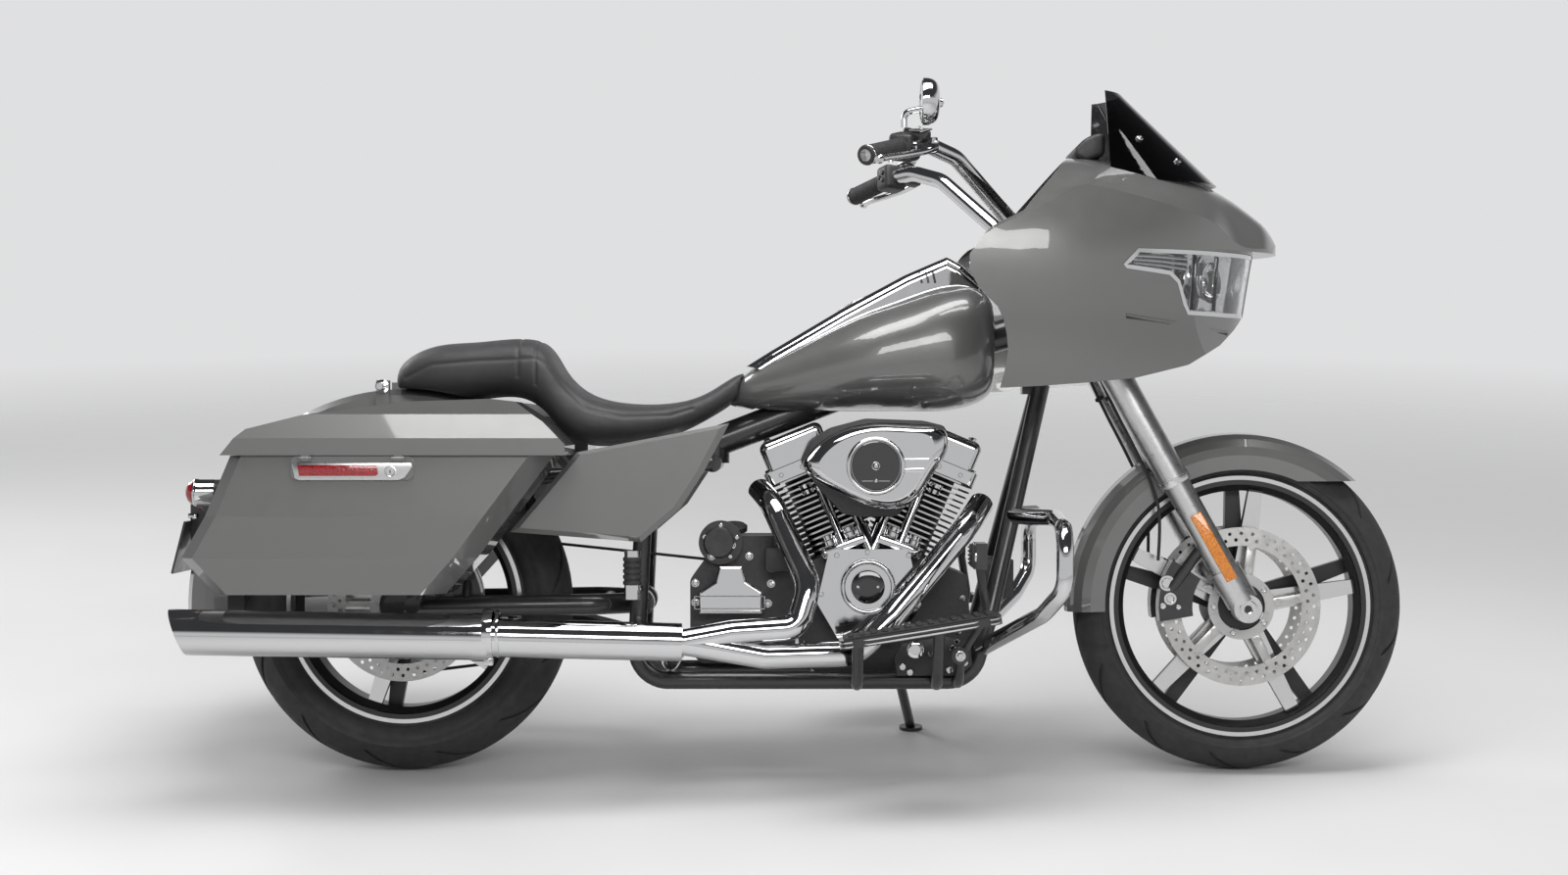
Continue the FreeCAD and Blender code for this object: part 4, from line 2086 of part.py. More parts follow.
def build_nodes():
    front_tyre, front_wheel, front_discs = front_wheel_parts()
    rear_tyre, rear_wheel, rear_discs = rear_wheel_parts()
    bag = saddlebag()
    lid = saddlebag_lid()
    return {
        "frame": [fused(frame() + [fairing_bracket(), stand_pin()])],
        "engine_guard": engine_guard(),
        "engine_case": engine_case(),
        "cylinders": cylinders(),
        "rocker_boxes": rocker_boxes(),
        "pushrod_tubes": pushrod_tubes(),
        "air_cleaner": air_cleaner(),
        "engine_covers": engine_covers(),
        "gearbox": [fused(gearbox() + [sprocket()])],
        "primary_cover": primary_cover(),
        "exhaust_headers": exhaust_headers(),
        "mufflers": mufflers(),
        "fuel_tank": fuel_tank(),
        "tank_console": tank_console(),
        "fuel_door": fuel_door(),
        "seat": seat(),
        "rear_fender": rear_fender(),
        "side_covers": side_covers(),
        "saddlebag_right": [mirrored(bag)],
        "saddlebag_left": [bag],
        "saddlebag_lid_right": [mirrored(lid)],
        "saddlebag_lid_left": [lid],
        "fairing_shell": fairing_shell(),
        "inner_fairing": inner_fairing(),
        "windshield": windshield(),
        "headlamp": headlamp(),
        "footboards": footboards(),
        "pedals": pedals(),
        "passenger_pegs": passenger_pegs(),
        "swingarm": swingarm(),
        "shocks": shocks(),
        "drive_belt": drive_belt(),
        "rear_caliper": rear_caliper(),
        "rear_lamps": rear_lamps(),
        "side_stand": side_stand(),
        "triple_clamps": triple_clamps(),
        "fork_legs": fork_legs(),
        "fork_reflectors": fork_reflectors(),
        "handlebar": handlebar(),
        "hand_controls": hand_controls(),
        "mirrors": mirrors(),
        "front_fender": front_fender(),
        "front_calipers": front_calipers(),
        "front_tyre": front_tyre,
        "front_wheel": front_wheel,
        "front_discs": front_discs,
        "rear_tyre": rear_tyre,
        "rear_wheel": rear_wheel,
        "rear_disc_and_pulley": rear_discs,
    }


# The lean onto the side stand, and the shift that centres the whole over the origin
def leaned_place(nodes):
    lean = FreeCAD.Placement(origin, FreeCAD.Rotation(forward, -lean_angle))
    everything = Part.makeCompound([s for name in reach_nodes for s in nodes[name]])
    everything.Placement = lean
    box = everything.optimalBoundingBox(False, False)
    shift = vec(-(box.XMin + box.XMax) / 2, -(box.YMin + box.YMax) / 2, 0)
    return FreeCAD.Placement(shift, FreeCAD.Rotation(forward, -lean_angle))


def build():
    nodes = build_nodes()
    place = leaned_place(nodes)
    os.makedirs("parts", exist_ok=True)
    for name, solids in nodes.items():
        shape = solids[0] if len(solids) == 1 else Part.makeCompound(solids)
        shape = shape.copy()
        shape.Placement = place.multiply(shape.Placement)
        shape.exportStep("parts/" + name + ".step")
        print(name, len(solids), "solids,", "valid" if shape.isValid() else "NOT VALID",
              round(shape.Volume / 1e6, 3), "litres")
    return nodes, place


model_nodes, model_place = build()
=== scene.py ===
import bpy
import bmesh
import json
import math
from mathutils import Matrix, Vector
from mathutils.bvhtree import BVHTree


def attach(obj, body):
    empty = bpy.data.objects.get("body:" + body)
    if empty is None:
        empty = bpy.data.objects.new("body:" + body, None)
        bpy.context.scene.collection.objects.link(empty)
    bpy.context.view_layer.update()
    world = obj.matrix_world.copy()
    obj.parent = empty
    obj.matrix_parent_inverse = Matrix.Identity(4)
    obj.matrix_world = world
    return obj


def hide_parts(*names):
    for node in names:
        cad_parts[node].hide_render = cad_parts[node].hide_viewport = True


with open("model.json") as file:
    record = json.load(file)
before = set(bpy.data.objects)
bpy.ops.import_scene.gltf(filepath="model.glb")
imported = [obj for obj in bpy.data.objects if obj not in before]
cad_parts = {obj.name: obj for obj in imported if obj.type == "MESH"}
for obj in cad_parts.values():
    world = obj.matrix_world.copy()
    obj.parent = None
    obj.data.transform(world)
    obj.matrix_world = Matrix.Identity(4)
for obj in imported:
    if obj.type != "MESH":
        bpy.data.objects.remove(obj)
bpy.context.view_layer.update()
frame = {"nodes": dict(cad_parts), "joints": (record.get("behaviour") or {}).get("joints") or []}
cadNodes = frame["nodes"]
joints = {joint["name"]: joint for joint in frame["joints"]}

# The machine leans on its side stand. Pieces are made in millimetres on the upright machine:
# x forward from the rear axle, y to the rider's left, z up from the ground.
rearAxlePlace = Vector(joints["rear_wheel_spin"]["pos_m"])
frontAxlePlace = Vector(joints["front_wheel_spin"]["pos_m"])
leftward = Vector(joints["rear_wheel_spin"]["axis"]).normalized()
forward = Vector((1, 0, 0))
upward = forward.cross(leftward)
ground = rearAxlePlace - upward * (rearAxlePlace.z / upward.z)
turn = Matrix((forward, leftward, upward)).transposed()
bikeFrame = Matrix.Translation(ground) @ turn.to_4x4() @ Matrix.Scale(0.001, 4)
bikeFrameBack = bikeFrame.inverted()
rearAxle = bikeFrameBack @ rearAxlePlace
frontAxle = bikeFrameBack @ frontAxlePlace
lean = math.atan2(-leftward.z, leftward.y)
print("frame ready, lean", round(math.degrees(lean), 2))


# Materials. Patterns read object coordinates, in metres or in the upright machine's millimetres.

def addNode(material, kind, inputs=(), **settings):
    node = material.node_tree.nodes.new(kind)
    for key, value in settings.items():
        setattr(node, key, value)
    for key, value in dict(inputs).items():
        if isinstance(value, bpy.types.NodeSocket):
            material.node_tree.links.new(value, node.inputs[key])
        else:
            node.inputs[key].default_value = value
    return node


def newMaterial(name, colour, roughness, metallic=0.0, **sockets):
    material = bpy.data.materials.new(name)
    material.use_nodes = True
    shader = material.node_tree.nodes["Principled BSDF"]
    shader.inputs["Base Color"].default_value = (*colour, 1)
    shader.inputs["Roughness"].default_value = roughness
    shader.inputs["Metallic"].default_value = metallic
    for key, value in sockets.items():
        shader.inputs[key.replace("_", " ")].default_value = value
    return material


def shaderOf(material):
    return material.node_tree.nodes["Principled BSDF"]


def plug(material, socket, value):
    material.node_tree.links.new(value, shaderOf(material).inputs[socket])


def patternPoint(material, stretch=(1, 1, 1)):
    coordinates = addNode(material, "ShaderNodeTexCoord")
    return addNode(material, "ShaderNodeMapping",
                   {"Vector": coordinates.outputs["Object"], "Scale": stretch}).outputs["Vector"]


# Object coordinates turned into millimetres on the upright machine, from the given centre
def bikePoint(material, centre=(0, 0, 0)):
    coordinates = addNode(material, "ShaderNodeTexCoord")
    place = bikeFrameBack.to_translation() - Vector(centre)
    return addNode(material, "ShaderNodeMapping",
                   {"Vector": coordinates.outputs["Object"], "Location": place, "Rotation": (lean, 0, 0),
                    "Scale": (1000, 1000, 1000)}).outputs["Vector"]


def noise(material, scale, detail=4, stretch=(1, 1, 1)):
    inputs = {"Vector": patternPoint(material, stretch), "Scale": scale, "Detail": detail}
    return addNode(material, "ShaderNodeTexNoise", inputs).outputs["Fac"]


def sums(material, operation, first, second=0.0):
    return addNode(material, "ShaderNodeMath", {0: first, 1: second}, operation=operation).outputs[0]


def bumped(material, heights, strength, distance):
    inputs = {"Height": heights, "Strength": strength, "Distance": distance}
    bump = addNode(material, "ShaderNodeBump", inputs)
    plug(material, "Normal", bump.outputs["Normal"])


def spread(material, value, low, high, fromLow=0.3, fromHigh=0.7):
    ranges = {"Value": value, "From Min": fromLow, "From Max": fromHigh, "To Min": low, "To Max": high}
    return addNode(material, "ShaderNodeMapRange", ranges).outputs["Result"]


def mixedColour(material, share, first, second):
    black = (0, 0, 0, 1)
    mix = addNode(material, "ShaderNodeMix", {"Factor": share, "A": black, "B": black}, data_type="RGBA")
    mix.inputs[6].default_value = (*first, 1)
    mix.inputs[7].default_value = (*second, 1)
    return mix.outputs[2]


def varied(material, first, second, scale, stretch=(1, 1, 1), detail=4):
    share = noise(material, scale, detail, stretch)
    plug(material, "Base Color", mixedColour(material, share, first, second))


def mottled(material, low, high, scale, stretch=(1, 1, 1)):
    plug(material, "Roughness", spread(material, noise(material, scale, 5, stretch), low, high))


paintGrey = dict(dark=(0.105, 0.105, 0.102), light=(0.155, 0.155, 0.15))


def paintMaterial():
    material = newMaterial("greyPaint", paintGrey["dark"], 0.34, 0.35, Coat_Weight=1.0, Coat_Roughness=0.03)
    varied(material, paintGrey["dark"], paintGrey["light"], 2600, detail=1)
    mottled(material, 0.30, 0.38, 30)
    bumped(material, noise(material, 160, 2), 0.02, 0.0005)
    return material


def chromeMaterial(name="chrome", tone=0.62, low=0.035, high=0.09):
    material = newMaterial(name, (tone, tone * 1.005, tone * 1.01), low, 1.0)
    mottled(material, low, high, 24)
    return material


def satinMaterial(name, tone, low, high, stretch=(1, 1, 1), bump=0.05):
    material = newMaterial(name, (tone, tone, tone * 0.99), low, 1.0)
    mottled(material, low, high, 90, stretch)
    varied(material, (tone * 0.93,) * 3, (tone * 1.05,) * 3, 60, stretch)
    bumped(material, noise(material, 900, 2, stretch), bump, 0.0002)
    return material


def grainMaterial(name, dark, light, low, high, scale, strength, distance, **sockets):
    material = newMaterial(name, dark, low, 0.0, **sockets)
    varied(material, dark, light, scale / 6)
    mottled(material, low, high, scale / 10)
    bumped(material, noise(material, scale, 3), strength, distance)
    return material


def leatherMaterial():
    dark, light = (0.024, 0.024, 0.025), (0.052, 0.052, 0.054)
    material = newMaterial("seatLeather", dark, 0.45, 0.0, Specular_IOR_Level=0.45)
    varied(material, dark, light, 14)
    mottled(material, 0.40, 0.58, 40)
    cells = addNode(material, "ShaderNodeTexVoronoi", {"Vector": patternPoint(material), "Scale": 620.0},
                    feature="DISTANCE_TO_EDGE").outputs["Distance"]
    heights = sums(material, "ADD", spread(material, cells, 0, 1, 0.0, 0.25), noise(material, 130, 3))
    bumped(material, heights, 0.32, 0.0006)
    return material


def lensMaterial(name, dark, light, **sockets):
    material = newMaterial(name, dark, 0.12, 0.0, Coat_Weight=1.0, Coat_Roughness=0.03, **sockets)
    cells = addNode(material, "ShaderNodeTexVoronoi", {"Vector": patternPoint(material), "Scale": 330.0},
                    feature="F1").outputs["Distance"]
    plug(material, "Base Color", mixedColour(material, spread(material, cells, 0, 1, 0.1, 0.7), light, dark))
    bumped(material, cells, 0.5, 0.0008)
    return material


def glassMaterial(name, colour, roughness):
    material = newMaterial(name, colour, roughness, 0.0, Transmission_Weight=1.0, IOR=1.45)
    mottled(material, roughness, roughness + 0.03, 20)
    return material


# The distance of a point from the axle that it is measured from
def axleDistance(material, place):
    x, y, z = place.outputs
    squares = sums(material, "ADD", sums(material, "MULTIPLY", x, x), sums(material, "MULTIPLY", z, z))
    return sums(material, "SQRT", squares)


# Black spokes and rim with machined faces on the outer sides
def wheelMaterial(name, axle, faceY, rimY, lipLow):
    black, machined, hubRadius, spokeEnd = (0.014, 0.014, 0.014), (0.66, 0.66, 0.65), 52.0, lipLow - 22
    material = newMaterial(name, black, 0.3, 0.0)
    place = addNode(material, "ShaderNodeSeparateXYZ", {"Vector": bikePoint(material, axle)})
    radius = axleDistance(material, place)
    outward = sums(material, "ABSOLUTE", place.outputs["Y"])
    faces = sums(material, "MULTIPLY", sums(material, "GREATER_THAN", outward, faceY),
                 sums(material, "MULTIPLY", sums(material, "GREATER_THAN", radius, hubRadius),
                      sums(material, "LESS_THAN", radius, spokeEnd)))
    lip = sums(material, "MULTIPLY", sums(material, "GREATER_THAN", outward, rimY),
               sums(material, "GREATER_THAN", radius, lipLow))
    bright = sums(material, "MAXIMUM", faces, lip)
    plug(material, "Metallic", bright)
    plug(material, "Base Color", mixedColour(material, bright, black, machined))
    plug(material, "Roughness", spread(material, bright, 0.34, 0.2, 0, 1))
    rings = addNode(material, "ShaderNodeTexNoise", {"Vector": patternPoint(material), "Scale": 700.0})
    bumped(material, rings.outputs["Fac"], 0.12, 0.0002)
    return material


# Steel turned on a lathe: fine rings about the wheel's own axle
def discMaterial(name, axle, tone):
    material = newMaterial(name, (tone, tone, tone * 0.98), 0.3, 1.0)
    place = addNode(material, "ShaderNodeSeparateXYZ", {"Vector": bikePoint(material, axle)})
    radius = axleDistance(material, place)
    rings = sums(material, "SINE", sums(material, "MULTIPLY", radius, 5.0))
    mottled(material, 0.24, 0.42, 60)
    varied(material, (tone * 0.85,) * 3, (tone * 1.08, tone * 1.06, tone * 1.02), 45)
    bumped(material, rings, 0.12, 0.0002)
    return material


# Black fins whose outer edges are machined bright
def finMaterial():
    dark, bright, edgeY = (0.012, 0.012, 0.012), (0.5, 0.5, 0.49), 87.4
    material = newMaterial("finBlack", dark, 0.4)
    place = addNode(material, "ShaderNodeSeparateXYZ", {"Vector": bikePoint(material)})
    edge = sums(material, "GREATER_THAN", sums(material, "ABSOLUTE", place.outputs[1]), edgeY)
    plug(material, "Metallic", edge)
    plug(material, "Base Color", mixedColour(material, edge, dark, bright))
    plug(material, "Roughness", spread(material, edge, 0.5, 0.25, 0, 1))
    bumped(material, noise(material, 1100, 3), 0.2, 0.0004)
    return material


finishes = {
    "paint": paintMaterial(),
    "chrome": chromeMaterial(),
    "darkChrome": chromeMaterial("darkChrome", 0.55, 0.06, 0.14),
    "mirror": chromeMaterial("mirrorGlass", 0.92, 0.01, 0.02),
    "silver": satinMaterial("satinSilver", 0.60, 0.26, 0.36, bump=0.015),
    "machined": satinMaterial("machinedAluminium", 0.66, 0.18, 0.3, (1, 1, 6), 0.08),
    "steel": satinMaterial("brushedSteel", 0.48, 0.26, 0.42, (1, 1, 8), 0.1),
    "blackMetal": grainMaterial("blackPowderCoat", (0.010,) * 3, (0.02,) * 3, 0.28, 0.4, 500, 0.06, 0.0003,
                                Coat_Weight=0.4),
    "castBlack": grainMaterial("wrinkleBlack", (0.014,) * 3, (0.032, 0.032, 0.031), 0.42, 0.6, 1100, 0.3,
                               0.0005),
    "plastic": grainMaterial("mouldedPlastic", (0.014, 0.014, 0.015), (0.024,) * 3, 0.42, 0.56, 1400, 0.14,
                             0.0003),
    "rubber": grainMaterial("softRubber", (0.014,) * 3, (0.026,) * 3, 0.6, 0.76, 700, 0.12, 0.0004),
    "tyre": grainMaterial("tyreRubber", (0.016,) * 3, (0.034, 0.033, 0.033), 0.62, 0.82, 420, 0.16, 0.0005),
    "leather": leatherMaterial(),
    "tinted": glassMaterial("smokedShield", (0.028, 0.028, 0.03), 0.02),
    "clear": glassMaterial("clearLens", (0.93, 0.94, 0.95), 0.01),
    "amber": lensMaterial("amberReflector", (0.48, 0.13, 0.003), (0.74, 0.27, 0.008)),
    "red": lensMaterial("redReflector", (0.16, 0.003, 0.006), (0.40, 0.012, 0.016)),
    "frontWheel": wheelMaterial("frontWheelFinish", frontAxle, 33.0, 49.0, 246.0),
    "rearWheel": wheelMaterial("rearWheelFinish", rearAxle, 33.0, 69.0, 221.0),
    "frontDisc": discMaterial("frontDiscSteel", frontAxle, 0.5),
    "rearDisc": discMaterial("rearDiscSteel", rearAxle, 0.45),
    "fins": finMaterial(),
    "reflector": chromeMaterial("lampReflector", 0.5, 0.08, 0.16),
    "gaugeFace": grainMaterial("gaugeFace", (0.008,) * 3, (0.012,) * 3, 0.3, 0.4, 600, 0.03, 0.0002),
    "paleMark": grainMaterial("paleMark", (0.55, 0.55, 0.53), (0.65, 0.65, 0.63), 0.4, 0.5, 600, 0.03,
                              0.0002),
    "blackGloss": grainMaterial("blackGloss", (0.006,) * 3, (0.01,) * 3, 0.08, 0.14, 60, 0.02, 0.0002,
                                Coat_Weight=1.0),
    "plate": grainMaterial("blankPlate", (0.62, 0.62, 0.6), (0.72, 0.72, 0.7), 0.4, 0.5, 300, 0.05, 0.0002),
}
nodeFinishes = {
    "blackMetal": ("frame", "footboards", "pedals", "swingarm", "shocks", "rear_caliper", "rear_lamps",
                   "side_stand", "triple_clamps", "front_calipers"),
    "chrome": ("engine_guard", "rocker_boxes", "pushrod_tubes", "air_cleaner", "engine_covers",
               "primary_cover", "exhaust_headers", "mufflers", "tank_console", "fuel_door",
               "passenger_pegs", "handlebar", "mirrors"),
    "castBlack": ("engine_case", "gearbox"),
    "fins": ("cylinders",),
    "paint": ("fuel_tank", "rear_fender", "side_covers", "saddlebag_right", "saddlebag_left",
              "saddlebag_lid_right", "saddlebag_lid_left", "fairing_shell", "front_fender"),
    "leather": ("seat",),
    "plastic": ("inner_fairing", "hand_controls"),
    "tinted": ("windshield",),
    "clear": ("headlamp",),
    "rubber": ("drive_belt",),
    "silver": ("fork_legs",),
    "amber": ("fork_reflectors",),
    "tyre": ("front_tyre", "rear_tyre"),
    "frontWheel": ("front_wheel",),
    "frontDisc": ("front_discs",),
    "rearWheel": ("rear_wheel",),
    "rearDisc": ("rear_disc_and_pulley",),
}
for finish, nodes in nodeFinishes.items():
    for node in nodes:
        body = cadNodes[node]
        if not body.material_slots:
            body.data.materials.append(finishes[finish])
        for slot in body.material_slots:
            slot.material = finishes[finish]
print("finishes on", sum(map(len, nodeFinishes.values())), "nodes")


# Mesh helpers


def finishPiece(name, bm, finish, body="chassis", sharp=32, replaced=()):
    bmesh.ops.transform(bm, matrix=bikeFrame, verts=bm.verts)
    mesh = bpy.data.meshes.new(name)
    bm.to_mesh(mesh)
    bm.free()
    mesh.materials.append(finishes[finish])
    mesh.shade_smooth()
    mesh.set_sharp_from_angle(angle=math.radians(sharp))
    piece = newObject(name, mesh)
    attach(piece, body)
    if replaced:
        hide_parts(*replaced)
    return piece


def newObject(name, data):
    made = bpy.data.objects.new(name, data)
    bpy.context.scene.collection.objects.link(made)
    return made


# A matrix that stands a shape's z along a direction
def standing(place, direction, size=1.0):
    upright = Vector(direction).to_track_quat("Z", "Y").to_matrix().to_4x4()
    return Matrix.Translation(place) @ upright @ Matrix.Scale(size, 4)


# A matrix that puts a shape at a place, pitched about the cross axis
def pitched(place, angle):
    return Matrix.Translation(place) @ Matrix.Rotation(angle, 4, "Y")


# A place on the side that is meant, from the same place on the left
def mirrored(place, side):
    return Vector((place[0], side * place[1], place[2]))


def outwards(bm):
    bmesh.ops.remove_doubles(bm, verts=bm.verts, dist=0.01)
    bmesh.ops.recalc_face_normals(bm, faces=bm.faces)


def meshOf(bm, name):
    outwards(bm)
    mesh = bpy.data.meshes.new(name)
    bm.to_mesh(mesh)
    bm.free()
    return mesh


def addMesh(bm, mesh, matrix):
    copy = mesh.copy()
    copy.transform(matrix)
    bm.from_mesh(copy)
    bpy.data.meshes.remove(copy)


# Places a shape that was made in a mesh of its own
def addShape(bm, shape, matrix=None):
    mesh = meshOf(shape, "shape")
    addMesh(bm, mesh, matrix or Matrix())
    bpy.data.meshes.remove(mesh)


def soften(bm, offset, segments):
    bmesh.ops.bevel(bm, geom=list(bm.edges), offset=offset, affect="EDGES", segments=segments, profile=0.5,
                    material=-1)


def addRod(bm, start, end, radius, endRadius=None, segments=24):
    start, end = Vector(start), Vector(end)
    bmesh.ops.create_cone(bm, cap_ends=True, segments=segments, radius1=radius,
                          radius2=radius if endRadius is None else endRadius, depth=(end - start).length,
                          matrix=standing((start + end) / 2, end - start))


def addBlock(bm, low, high, soft=0.0, segments=2, place=None):
    low, high = Vector(low), Vector(high)
    block = bmesh.new()
    size = Matrix.Diagonal((*(high - low), 1))
    bmesh.ops.create_cube(block, size=1, matrix=Matrix.Translation((low + high) / 2) @ size)
    if soft:
        soften(block, soft, segments)
    addShape(bm, block, place)


# A closed profile of (radius, y) points turned round a centre
def addTurned(bm, profile, centre, steps):
    verts = [bm.verts.new((centre[0] + radius, centre[1] + y, centre[2])) for radius, y in profile]
    edges = [bm.edges.new(pair) for pair in zip(verts, verts[1:] + verts[:1])]
    bmesh.ops.spin(bm, geom=verts + edges, cent=centre, axis=(0, 1, 0), angle=math.tau, steps=steps,
                   use_merge=True)


# A profile of (radius, height) points turned about z, closed at its poles
def latheMesh(name, profile, steps=32):
    bm = bmesh.new()
    verts = [bm.verts.new((radius, 0, height)) for radius, height in profile]
    edges = [bm.edges.new(pair) for pair in zip(verts, verts[1:])]
    bmesh.ops.spin(bm, geom=verts + edges, cent=(0, 0, 0), axis=(0, 0, 1), angle=math.tau, steps=steps,
                   use_merge=True)
    return meshOf(bm, name)


def addLathe(bm, profile, place, direction, steps=48):
    mesh = latheMesh("turned", profile, steps)
    addMesh(bm, mesh, standing(place, direction))
    bpy.data.meshes.remove(mesh)


def circlePoints(radius, count, start=0.0):
    return [(radius * math.cos(start + math.tau * index / count),
             radius * math.sin(start + math.tau * index / count)) for index in range(count)]


def addTorus(bm, place, direction, radius, thickness, steps=64):
    ring = [(radius + x, z) for x, z in circlePoints(thickness, 12)]
    addLathe(bm, ring + ring[:1], place, direction, steps)


# A flat outline of (x, z) points given a thickness from one y to another
def addPanel(bm, outline, startY, endY, soft=0.0, segments=2):
    panel = bmesh.new()
    face = panel.faces.new([panel.verts.new((x, startY, z)) for x, z in outline])
    made = bmesh.ops.extrude_face_region(panel, geom=[face])
    verts = [item for item in made["geom"] if isinstance(item, bmesh.types.BMVert)]
    bmesh.ops.translate(panel, vec=(0, endY - startY, 0), verts=verts)
    if soft:
        soften(panel, soft, segments)
    addShape(bm, panel)


def curveMesh(curve):
    holder = bpy.data.objects.new("outline", curve)
    mesh = bpy.data.meshes.new_from_object(holder)
    bpy.data.objects.remove(holder)
    return mesh


# A round bar that follows a smooth line
def addPipe(bm, points, radius, order=3, cyclic=False, sides=3, resolution=8):
    curve = bpy.data.curves.new("pipe", "CURVE")
    curve.dimensions = "3D"
    curve.bevel_depth = radius
    curve.bevel_resolution = sides
    curve.resolution_u = resolution
    curve.use_fill_caps = not cyclic
    spline = curve.splines.new("NURBS")
    spline.points.add(len(points) - 1)
    for point, place in zip(spline.points, points):
        point.co = (*place, 1)
    spline.order_u = order
    spline.use_endpoint_u = not cyclic
    spline.use_cyclic_u = cyclic
    mesh = curveMesh(curve)
    bm.from_mesh(mesh)
    bpy.data.meshes.remove(mesh)


# Bolt heads of radius 1: a socket cap and a hexagon on its washer
capBolt = latheMesh("capBolt", [(0, 0.3), (0.42, 0.3), (0.46, 0.82), (0.8, 0.82), (0.97, 0.64), (1, -0.3),
                                (0, -0.3)], 16)
hexBolt = latheMesh("hexBolt", [(0, 0.86), (0.62, 0.86), (0.84, 0.7), (0.84, 0.1), (0.84, -0.3), (0, -0.3)],
                    6)
washer = latheMesh("washer", [(0.5, 0.16), (1.02, 0.16), (1.1, 0.08), (1.1, -0.3), (0.5, -0.3)], 20)


def addBolt(bm, place, direction, radius, kind="cap"):
    addMesh(bm, capBolt if kind == "cap" else hexBolt, standing(place, direction, radius))
    if kind == "hex":
        addMesh(bm, washer, standing(place, direction, radius))


# Where a line across the machine meets a CAD node from outside, and the face's direction there
nodeTrees = {}


def onNode(node, x, z, side):
    if node not in nodeTrees:
        mesh = cadNodes[node].data
        nodeTrees[node] = BVHTree.FromPolygons([vert.co for vert in mesh.vertices],
                                               [tuple(face.vertices) for face in mesh.polygons])
    start = bikeFrame @ Vector((x, side * 1000, z))
    place, normal, index, distance = nodeTrees[node].ray_cast(start, leftward * -side)
    if place is None:
        return None, Vector((0, side, 0))
    return bikeFrameBack @ place, (bikeFrameBack.to_3x3() @ normal).normalized()


def boltOn(bm, node, x, z, side, radius, kind="cap", sink=0.0, flat=True):
    place, normal = onNode(node, x, z, side)
    if place is None:
        print("no face for a bolt on", node, x, z, side)
        return
    direction = Vector((0, side, 0)) if flat else normal
    addBolt(bm, place - direction * sink, direction, radius, kind)


# Tyres: a rounded crown, a soft sidewall and chevron grooves

tyreShapes = {
    "front_tyre": dict(body="front_wheel", centre=frontAxle, radius=320.6, shoulder=275.0, half=64.6,
                       lip=254.4, bead=243.4, beadHalf=45.6, steps=156, period=12, twist=0.34,
                       grooveDepth=4.0),
    "rear_tyre": dict(body="rear_wheel", centre=rearAxle, radius=322.6, shoulder=273.0, half=89.6, lip=229.4,
                      bead=218.4, beadHalf=65.6, steps=156, period=12, twist=0.42, grooveDepth=4.5),
}


def crownPoints(shape, count):
    rise = shape["radius"] - shape["shoulder"]
    crown = (shape["half"] ** 2 + rise ** 2) / (2 * rise)
    sweep = math.asin(shape["half"] / crown)
    return [(shape["radius"] - crown + crown * math.cos(sweep * share), crown * math.sin(sweep * share))
            for share in (1 - 2 * index / (count - 1) for index in range(count))]


def makeTyre(name, shape):
    lip, beadHalf, half, shoulder = shape["lip"], shape["beadHalf"], shape["half"], shape["shoulder"]
    rise = shoulder - lip
    wall = [(shape["bead"], beadHalf), (lip, beadHalf), (lip + 2, beadHalf + 1.5),
            (lip + 4.5, beadHalf + 1.2), (lip + rise * 0.3, beadHalf + (half - beadHalf) * 0.52),
            (lip + rise * 0.62, half - (half - beadHalf) * 0.22),
            (lip + rise * 0.72, half - (half - beadHalf) * 0.2),
            (lip + rise * 0.78, half - (half - beadHalf) * 0.1)]
    profile = wall + crownPoints(shape, 21) + [(radius, -y) for radius, y in reversed(wall)]
    bm = bmesh.new()
    addTurned(bm, profile, shape["centre"], shape["steps"])
    outwards(bm)
    centre = shape["centre"]
    step = math.tau / shape["steps"]
    for vert in bm.verts:
        swing = shape["twist"] * abs(vert.co.y) / half
        vert.co = Matrix.Rotation(swing, 3, "Y") @ (vert.co - centre) + centre
    grooves = []
    for face in bm.faces:
        middle = face.calc_center_median() - centre
        share = abs(middle.y) / half
        angle = math.atan2(-middle.z, middle.x) - shape["twist"] * share
        index = int(math.floor(angle / step + 0.5)) + (shape["period"] // 2 if middle.y > 0 else 0)
        radius = math.hypot(middle.x, middle.z)
        if radius > shoulder and 0.12 < share < 0.86 and index % shape["period"] == 0:
            grooves.append(face)
    bmesh.ops.inset_region(bm, faces=grooves, thickness=0.8, depth=-shape["grooveDepth"],
                           use_even_offset=False)
    finishPiece(name + "_tread", bm, "tyre", shape["body"], sharp=40, replaced=(name,))


for name, shape in tyreShapes.items():
    makeTyre(name, shape)
print("tyres made")


# Brake discs: a drilled band, a hub ring and arms with bolts

discs = dict(thickness=5.0, hubOuter=64, hubInner=46, holeRadius=3.6, holesPerRow=40, arms=5,
             rows=((0.28, 0), (0.62, 0.5)), innerBolts=72.0, boltRadius=7.0, frontY=64.5, rearY=-86.5)
frontDisc = dict(radius=154, band=36, firstAngle=9.5)
rearDisc = dict(radius=146, band=34, firstAngle=36)
pulleyProfile = [(30, 84), (64, 84), (64, 97), (122, 97), (122, 94.4), (139, 94.4), (139, 113.6),
                 (122, 113.6), (122, 101), (64, 101), (30, 101)]


def flatRing(outer, inner, holes, thickness):
    curve = bpy.data.curves.new("ringOutline", "CURVE")
    curve.dimensions = "2D"
    curve.fill_mode = "BOTH"
    curve.extrude = thickness / 2
    for centreX, centreY, radius, count in [(0, 0, outer, 120), (0, 0, inner, 96)] + holes:
        spline = curve.splines.new("POLY")
        spline.points.add(count - 1)
        for index, point in enumerate(spline.points):
            angle = math.tau * index / count
            point.co = (centreX + radius * math.cos(angle), centreY + radius * math.sin(angle), 0, 1)
        spline.use_cyclic_u = True
    return curveMesh(curve)


